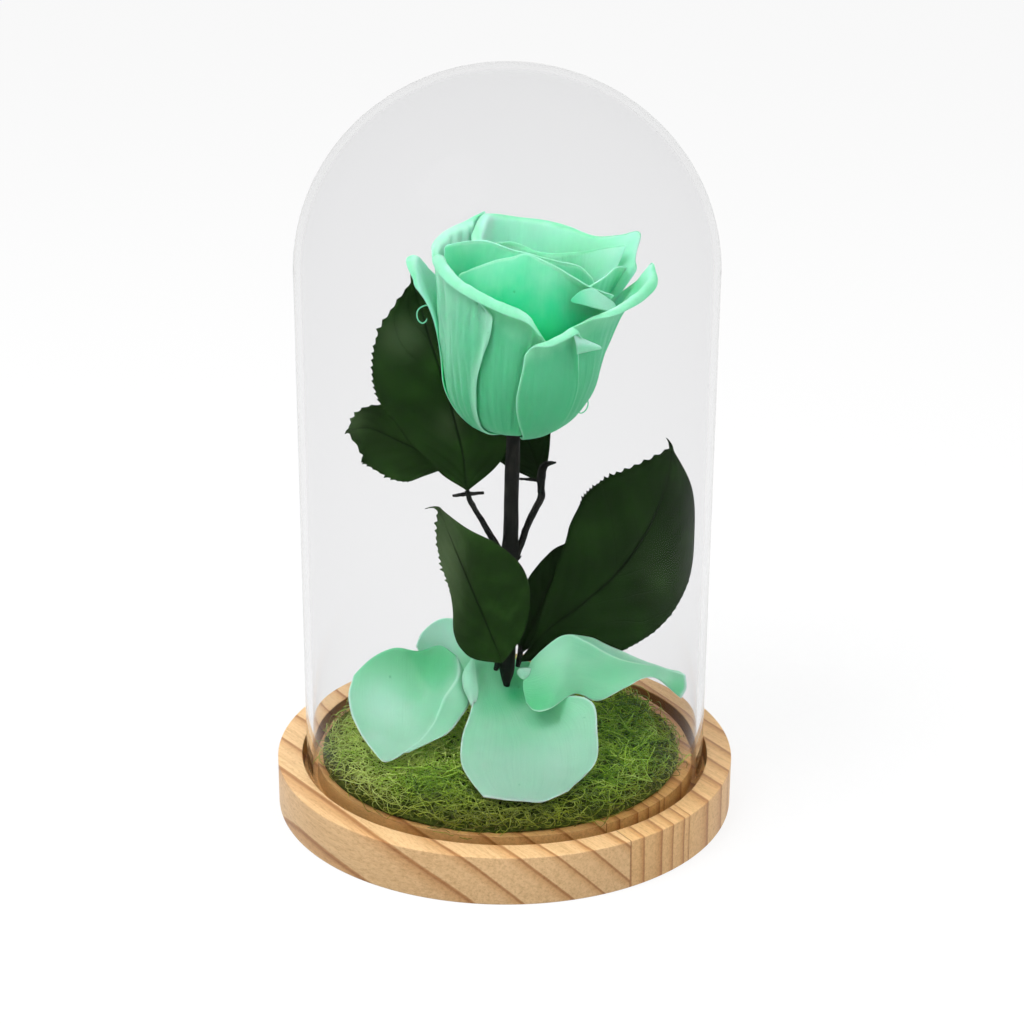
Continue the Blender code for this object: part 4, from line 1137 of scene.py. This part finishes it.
def moss_mesh(name, sink, reach=1.0, rings=56, sectors=220, closed=True):
    """The mat's top with lumps, sunk under the solid's surface by this much, and closed below for the bed."""
    share = np.linspace(0, 1, rings)[:, None]
    turn = np.linspace(0, math.tau, sectors, endpoint=False)[None]
    radius = MOSS_HOLE + (reach * (MOSS_RADIUS - 1.0) - MOSS_HOLE) * share
    height = MOSS_FLOOR + moss_surface(radius, turn) - sink - 1.5 * share**12
    x = MOSS_CENTRE[0] * share + radius * np.cos(turn)
    y = MOSS_CENTRE[1] * share + radius * np.sin(turn)
    top = np.stack([x, y, height], axis=-1)
    top[..., 2] += 0.55 * soft_noise(top, (4.0, 4.0, 4.0), 1) + 0.3 * soft_noise(top, (1.6, 1.6, 1.6), 2)
    bm = bmesh.new()
    if closed:
        foot = top.copy()
        foot[..., 2] = MOSS_FLOOR
        verts = add_vertices(bm, np.concatenate([foot[:1], top, foot[-1:]]))
        verts.append(verts[0])
    else:
        verts = add_vertices(bm, top)
    add_wall(bm, verts)
    return finished_mesh(bm, name)


def fibre_tree():
    """Curled fibres on a mat: arcs lie about on it, noise bends each one, and a thin profile follows it."""
    tree, given = geometry_tree(
        "Moss fibres", "Fibres", Mat="Geometry", Density="Float", Arc="Float", Steps="Int", Thickness="Float",
        Bend="Float", Waves="Float", Tilt="Float", Seed="Int", Finish="Material",
    )
    scatter = {"Mesh": given["Mat"], "Density": given["Density"], "Seed": given["Seed"]}
    points = add_node(tree, "GeometryNodeDistributePointsOnFaces", scatter, "Points")
    limits = {"Min": (-1.0, -1.0, -math.pi), "Max": (1.0, 1.0, math.pi), "Seed": given["Seed"]}
    turn = add_node(tree, "FunctionNodeRandomValue", limits, "Value", data_type="FLOAT_VECTOR")
    tilt = add_node(tree, "ShaderNodeCombineXYZ", {"X": given["Tilt"], "Y": given["Tilt"], "Z": 1.0})
    limits = {"Min": 0.55, "Max": 1.35, "Seed": 11}
    size = add_node(tree, "FunctionNodeRandomValue", limits, 1, data_type="FLOAT")
    sizes = {"Resolution": given["Steps"], "Radius": given["Arc"], "Start Angle": 0.0, "Sweep Angle": 3.7}
    arc = add_node(tree, "GeometryNodeCurveArc", sizes, "Curve", mode="RADIUS")
    shade = add_node(tree, "FunctionNodeRandomValue", {"Seed": 5}, 1, data_type="FLOAT")
    shade = {"Geometry": points, "Name": "fibre_shade", "Value": shade}
    shaded = add_node(tree, "GeometryNodeStoreNamedAttribute", shade, data_type="FLOAT", domain="POINT")
    turned = vector_maths("MULTIPLY", turn, tilt)
    places = {"Points": shaded, "Instance": arc, "Rotation": turned, "Scale": size}
    placed = add_node(tree, "GeometryNodeInstanceOnPoints", places)
    real = add_node(tree, "GeometryNodeRealizeInstances", {"Geometry": placed})
    own = add_node(tree, "GeometryNodeInputNamedAttribute", {"Name": "fibre_shade"}, data_type="FLOAT")
    waves = {
        "Vector": add_node(tree, "GeometryNodeInputPosition"),
        "W": own * 40.0,
        "Scale": given["Waves"],
        "Detail": 0.0,
    }
    bend = add_node(tree, "ShaderNodeTexNoise", waves, "Color", noise_dimensions="4D")
    shift = {"Geometry": real, "Offset": shift_by(bend, given["Bend"])}
    curled = add_node(tree, "GeometryNodeSetPosition", shift)
    profile = {"Resolution": 3, "Radius": given["Thickness"]}
    profile = add_node(tree, "GeometryNodeCurvePrimitiveCircle", profile)
    skin = {"Curve": curled, "Profile Curve": profile, "Fill Caps": True}
    end_tree(add_node(tree, "GeometryNodeCurveToMesh", skin), given["Finish"])
    return tree


def add_moss():
    finish_piece("moss_bed", moss_mesh("moss_bed", sink=1.6), moss_bed_finish(), ["moss_mat"])
    tree = fibre_tree()
    fibre = moss_fibre_finish()
    for name, density, arc, steps, thickness, bend, waves, tilt, seed in MOSS_LAYERS:
        mat = moss_mesh(name + "_mat", 1.3, 1 - 0.0035 * arc**2, 24, 96, closed=False)
        mesh = bake_tree(name, mat, tree, {
            "Density": density,
            "Arc": arc * MM,
            "Steps": steps,
            "Thickness": thickness * MM,
            "Bend": bend * MM,
            "Waves": waves,
            "Tilt": tilt,
            "Seed": seed,
            "Finish": fibre,
        })
        finish_piece(name, mesh, fibre)


def add_bark_tube(bm, run, count, sides, depth, lumps, seed):
    """A closed tube with an uneven skin through points given as (x, y, z, radius)."""
    run = curve_at(run, np.linspace(0, 1, count))
    centre = run[:, :3]
    rings = tube_points(centre, run[:, 3], sides)
    skin = depth * soft_noise(rings, lumps, seed)
    verts = add_vertices(bm, rings + unit(rings - centre[:, None]) * skin[..., None])
    add_wall(bm, verts)
    for ring in (verts[0], verts[-1]):
        middle = bm.verts.new(sum((vert.co for vert in ring), Vector()) / sides)
        for k in range(sides):
            bm.faces.new((ring[k], ring[(k + 1) % sides], middle))


def add_stem_and_stalks():
    bark = bark_finish()
    for name, runs in {"rose_stem": [STEM], **STALKS}.items():
        bm = bmesh.new()
        for run in runs:
            if run is STEM:
                add_bark_tube(bm, run, count=150, sides=28, depth=0.14, lumps=(1.2, 1.2, 6.0), seed=4)
            else:
                count = 12 * len(run)
                add_bark_tube(bm, run, count, sides=14, depth=0.1, lumps=(0.9, 0.9, 1.6), seed=6)
        finish_piece(name + "_bark", finished_mesh(bm, name + "_bark"), bark, [name])


def leaf_grid(leaf, seed):
    """Points of a leaf, rows from its stalk to its tip, folded along the midrib, with toothed margins."""
    rows = 3 * round(leaf["length"] / TOOTH_PITCH) + 1
    share = np.linspace(0, 1, rows)[:, None]
    across = np.linspace(-1, 1, 31)[None]
    outwards = np.abs(across)
    midrib = curve_at(leaf["midrib"], share)
    along = unit(np.gradient(midrib, axis=0))
    side = unit(np.cross(along, leaf["facing"]))
    normal = np.cross(side, along)
    midrib = midrib + np.array(leaf["hook"]) * (np.clip((share - 0.95) / 0.05, 0, 1) ** 2)[..., None]
    tail = np.clip((share - BLADE_SHARE) / (1 - BLADE_SHARE), 0, 1)
    blade = np.clip(share / BLADE_SHARE, 0, 1)
    left, right = (curve_at(np.array(leaf[key], float)[:, None], blade)[..., 0] for key in ("left", "right"))
    uneven = soft_noise(np.stack([share * leaf["length"], 0 * share, 0 * share], axis=-1), (2.3, 1, 1), seed)
    spike = np.array([0.0, 0.3, 1.0])[np.arange(rows) % 3][:, None] * np.clip(1 + 0.9 * uneven, 0.4, 1.6)
    toothed = [
        size * np.clip(25 * np.minimum(share - start, end - share), 0, 1)
        for start, end, size in leaf["teeth"]
    ]
    tooth = spike * np.where(across < 0, *toothed) * np.clip((outwards - 0.86) / 0.14, 0, 1)
    tip = TIP_WIDTH * (1 - 0.8 * tail) * np.clip(share / 0.02, 0.2, 1)
    width = np.maximum(np.where(across < 0, left, right), tip)
    fullness = np.clip(width / 6, 0, 1)
    fold = math.radians(leaf["fold"])
    reach = across * width * math.cos(fold) + np.sign(across) * tooth
    lift = outwards * width * math.sin(fold)
    veins = 0.16 * np.cos(math.tau * (7 * share - 2.5 * outwards)) * np.sin(math.pi * outwards)
    lift = lift + veins * fullness - 0.3 * np.exp(-((across * width / 0.5) ** 2))
    grid = midrib + side * reach[..., None] + normal * lift[..., None] + along * (0.7 * tooth)[..., None]
    return grid + normal * (0.5 * soft_noise(grid, (9.0, 9.0, 9.0), seed) * fullness)[..., None]


def add_leaves():
    green = leaf_finish()
    for seed, (name, leaf) in enumerate(LEAVES.items(), start=20):
        grid = leaf_grid(leaf, seed)
        # Painted highlight where a leaf shines, and painted shade on leaves away from the light.
        painted_light = marked_places(grid, LEAF_PAINTED_HIGHLIGHT.get(name, ()))
        parts = sheet_parts(grid, LEAF_THICKNESS, crest=painted_light, painted_shade=leaf["shade_depth"])
        finish_piece(name + "_blade", joined_mesh(name + "_blade", parts), green, [name])


def cubic(first, second, third, last, share):
    rest = 1 - share
    return first * rest**3 + 3 * second * rest**2 * share + 3 * third * rest * share**2 + last * share**3


def eased(first, last, share):
    return first + (last - first) * share * share * (3 - 2 * share)


def rose_petal_grid(layer, corner, wrinkle, ribs, columns, seed):
    """Points of a rose petal, rows from its foot over its shoulder to its rolled lip."""
    steps = [np.linspace(0, 1, 15), 1 + np.linspace(0, 1, 23)[1:], 2 + np.linspace(0, 1, 13)[1:]]
    stage = np.concatenate(steps)[:, None]
    top = np.clip((stage - 1.55) / 1.45, 0, 1)
    across = np.linspace(-1, 1, columns)[None]
    draw_in = 1 - corner * (1 - np.sqrt(np.maximum(1 - top**2, 0)))
    rib = np.moveaxis(curve_at(ribs, (draw_in * across + 1) / 2), -1, 0)
    foot_az, mid_az, rim_az, lean = np.radians(rib[[0, 1, 2, 5]])
    radius, height = rib[3:5]
    roll = np.radians(np.maximum(rib[6], 0.0))

    # The lip starts below and inside its crest
    crest = np.minimum(lean + roll, math.pi / 2)
    lip_r = radius - LIP_RADIUS * (np.cos(lean) - np.cos(crest))
    lip_z = height - ROSE_UNDERSIDE - LIP_RADIUS * (np.sin(crest) - np.sin(lean))
    wide, high = 19.8 - layer, 15.0 + 0.15 * layer

    t = np.clip(stage, 0, 1)
    low = LAYER_RISE * layer
    cup_r = cubic(PETAL_FOOT_RADIUS, 12.4 - 0.3 * layer, 18.0 - 0.8 * layer, wide, t)
    cup_z = cubic(low, low + (0.9 if layer == 0 else -0.3), 6.5 + 0.7 * layer, high, t)
    cup_az = eased(foot_az, mid_az, t)

    t = np.clip(stage - 1, 0, 1)
    handle = np.hypot(lip_r - wide, lip_z - high) / 3
    rise_r = cubic(wide, wide + handle * math.sin(0.17), lip_r - handle * np.sin(lean), lip_r, t)
    rise_z = cubic(high, high + handle * math.cos(0.17), lip_z - handle * np.cos(lean), lip_z, t)
    rise_az = eased(mid_az, rim_az, t)

    t = np.clip(stage - 2, 0, 1)
    turned = lean + roll * np.clip(t / 0.7, 0, 1)
    roll_r = lip_r + LIP_RADIUS * (np.cos(lean) - np.cos(turned)) + LIP_TAIL * t * np.sin(turned)
    roll_z = lip_z + LIP_RADIUS * (np.sin(turned) - np.sin(lean)) + LIP_TAIL * t * np.cos(turned)

    parts = [stage <= 1, stage <= 2]
    r = np.select(parts, [cup_r, rise_r], roll_r)
    z = np.select(parts, [cup_z, rise_z], roll_z) + ROSE_UNDERSIDE
    azimuth = np.select(parts, [cup_az, rise_az], rim_az)
    r = r + SIDE_CURL * np.exp(-(((1 - np.abs(across)) / 0.045) ** 2)) * np.clip(stage - 0.4, 0, 1)
    axis = ROSE_CENTRE + ROSE_LEAN * (z - ROSE_UNDERSIDE)
    grid = np.stack([axis + r * np.cos(azimuth), r * np.sin(azimuth), z], axis=-1)

    # Wrinkles run up the petal, and broad waves go over it
    run = np.stack([20 * azimuth, 0 * z, z], axis=-1)
    ridges = np.abs(soft_noise(run, (2.4, 1.0, 24.0), seed + 7))
    folds = soft_noise(run, (1.1, 1.0, 16.0), seed) + 1.6 * ridges - 0.6
    wrinkles = wrinkle * folds * np.clip((2.6 - stage) / 0.8, 0, 1)
    waves = 0.22 * soft_noise(grid, (7.0, 7.0, 9.0), seed + 30)
    return grid + grid_normals(grid) * ((wrinkles + waves) * np.clip(stage / 0.8, 0, 1))[..., None]


def corner_grid(corners, bulge):
    """Points of a small patch between four corners, bulging to the side that it faces."""
    first, second, third, last = (np.array(corner, float) for corner in corners)
    u = np.linspace(0, 1, 21)[None, :, None]
    v = np.linspace(0, 1, 13)[:, None, None]
    flat = (1 - v) * ((1 - u) * first + u * second) + v * ((1 - u) * last + u * third)
    facing = unit(np.cross(third - first, last - second))
    if facing[1] > 0:
        facing = -facing
    return flat + facing * (bulge * 4 * v * (1 - v) * (0.3 + 0.7 * np.sin(math.pi * u)))


def add_rose():
    outer = petal_finish("rose_petal", OUTER_TONES, INNER_TONES, (146, 224, 184), 0.008, 0.9)
    heart = petal_finish("rose_heart", HEART_TONES, INNER_TONES, (176, 240, 210), 0.008, 0.7)
    for seed, (name, (layer, corner, wrinkle, ribs)) in enumerate(ROSE_PETALS.items(), start=40):
        columns = min(41 + round(abs(ribs[0][1] - ribs[-1][1]) / 3), 81)
        grid = rose_petal_grid(layer, corner, wrinkle, ribs, columns, seed)
        # Painted highlights beside the first side edge, painted light where the rose is paler, and painted
        # shade in its hollows.
        band, strength = PAINTED_EDGE_LIGHT.get(name, (1.0, 0.0))
        painted_light = strength * np.exp(-((np.linspace(0, 1, columns) / band) ** 2))
        if ribs[0][1] > ribs[-1][1]:
            grid = grid[:, ::-1]
            painted_light = painted_light[::-1]
        painted_light = np.maximum(painted_light, marked_places(grid, ROSE_PAINTED_LIGHT.get(name, ())))
        painted_shade = marked_places(grid, ROSE_PAINTED_SHADE.get(name, ()))
        parts = [sheet_parts(grid, PETAL_THICKNESS, crest=painted_light, painted_shade=painted_shade)]
        if name in ROSE_THREADS:
            parts.append(thread_parts(ROSE_THREADS[name], THREAD_RADIUS))
        if name == "petal_front_right":
            parts.append(sheet_parts(corner_grid(TORN_CORNER, 0.9), FLAP_THICKNESS, pale_from=0.72))
        if name == "petal_heart_front":
            parts.append(sheet_parts(smooth_grid(ROSE_TONGUE, 33, 17), TONGUE_THICKNESS, pale_from=0.66))
        finish = heart if layer > LAST_OUTER_LAYER else outer
        finish_piece(name + "_soft", joined_mesh(name + "_soft", *parts), finish, [name])


def add_fallen_petals():
    petal = petal_finish("fallen_petal", FALLEN_TONES, FALLEN_TONES, (206, 250, 228), 0.016, 1.4)
    for seed, (name, net) in enumerate(FALLEN_PETALS.items(), start=60):
        crease = FALLEN_CREASES.get(name)
        grid = smooth_grid(np.array(net, float), FALLEN_ROWS, FALLEN_COLUMNS, crease)
        grid = grid + grid_normals(grid) * (0.15 * soft_noise(grid, (4.0, 4.0, 4.0), seed))[..., None]
        # Painted light where the petal is paler, a painted highlight along the crease's ridge, and painted
        # shade in its hollows.
        crest = marked_places(grid, FALLEN_PAINTED_LIGHT.get(name, ()))
        if crease is not None:
            from_crease = np.linspace(0, 1, FALLEN_COLUMNS) - crease / (len(net[0]) - 1)
            crest = np.maximum(crest, 0.7 * np.exp(-((from_crease / 0.012) ** 2)))
        painted_shade = marked_places(grid, FALLEN_PAINTED_SHADE.get(name, ()))
        parts = [sheet_parts(grid, FALLEN_THICKNESS, crest=crest, painted_shade=painted_shade)]
        if name in FALLEN_LOBES:
            # The lobes carry a little painted light.
            parts.append(sheet_parts(smooth_grid(FALLEN_LOBES[name], 25, 17), LOBE_THICKNESS, crest=0.3))
        finish_piece(name + "_soft", joined_mesh(name + "_soft", *parts), petal, [name])


# Stage

def add_floor():
    bm = bmesh.new()
    bmesh.ops.create_grid(bm, x_segments=2, y_segments=2, size=6.0)
    mesh = bpy.data.meshes.new("floor")
    bm.to_mesh(mesh)
    bm.free()
    floor = bpy.data.objects.new("floor", mesh)
    bpy.context.scene.collection.objects.link(floor)
    finish = new_finish(
        "floor_white",
        Roughness=1.0,
        Specular_IOR_Level=0.0,
        Base_Color=(0.16, 0.16, 0.16, 1.0),
        Emission_Color=(1.0, 1.0, 1.0, 1.0),
        Emission_Strength=0.83,
    )[0]
    mesh.materials.append(finish)
    floor.visible_diffuse = False


def add_light(name, place, aim, size, power):
    data = bpy.data.lights.new(name, "AREA")
    data.shape = "DISK"
    data.size = size
    data.energy = power
    lamp = bpy.data.objects.new(name, data)
    lamp.location = place
    lamp.visible_glossy = False
    lamp.rotation_euler = (Vector(aim) - Vector(place)).to_track_quat("-Z", "Y").to_euler()
    bpy.context.scene.collection.objects.link(lamp)


def add_lights():
    """Two soft lamps, and a world that is dimmer on the pieces than where the camera sees it."""
    add_light("key", (-0.34, -0.26, 0.8), (0, 0, 0.1), 0.5, 5.4)
    add_light("fill", (0.5, -0.5, 0.6), (0, 0, 0.1), 0.6, 2.2)
    world = bpy.data.worlds.new("studio")
    bpy.context.scene.world = world
    world.use_nodes = True
    tree = world.node_tree
    _, behind, height = axes(add_node(tree, "ShaderNodeTexCoord", output="Generated"))
    sky = ramp(height * 0.5 + 0.5, (0.42, SKY_BELOW), (0.62, SKY_ABOVE))
    bounces = add_node(tree, "ShaderNodeLightPath", output="Diffuse Depth")
    backdrop = maths("MAXIMUM", ramp(behind, (0.25, 0), (0.7, 1)), bounces < 0.5)
    sky = mix_colours(backdrop, sky, (BACKDROP,) * 3 + (1,))
    tree.links.new(sky.socket, tree.nodes["Background"].inputs["Color"])


def add_camera():
    forward = Vector((0, math.cos(CAMERA_DROP), -math.sin(CAMERA_DROP)))
    level = Vector((1, 0, 0))
    rise = level.cross(forward)
    right = math.cos(CAMERA_ROLL) * level + math.sin(CAMERA_ROLL) * rise
    up = math.cos(CAMERA_ROLL) * rise - math.sin(CAMERA_ROLL) * level
    data = bpy.data.cameras.new("camera")
    data.sensor_width = SENSOR_WIDTH
    data.lens = FOCAL_PIXELS / PICTURE_WIDTH * SENSOR_WIDTH
    camera = bpy.data.objects.new("camera", data)
    place = (Vector(CAMERA_AIM) - forward * CAMERA_DISTANCE) * MM
    turn = Matrix((right, up, -forward)).transposed()
    camera.matrix_world = Matrix.Translation(place) @ turn.to_4x4()
    bpy.context.scene.collection.objects.link(camera)
    bpy.context.scene.camera = camera


def main():
    add_camera()
    tree = turning_tree()
    pine = pine_finish()
    glass = glass_finish()
    base = base_profile()
    dome = dome_profile()
    add_turned("wood_base_turned", base, TURNED_SEGMENTS, tree, pine, "wood_base", BASE_SHARP_ANGLE)
    add_turned("glass_dome_blown", dome, DOME_SEGMENTS, tree, glass, "glass_dome")
    add_moss()
    add_stem_and_stalks()
    add_leaves()
    add_rose()
    add_fallen_petals()
    add_floor()
    add_lights()
    bpy.context.scene.view_settings.view_transform = "Standard"


main()
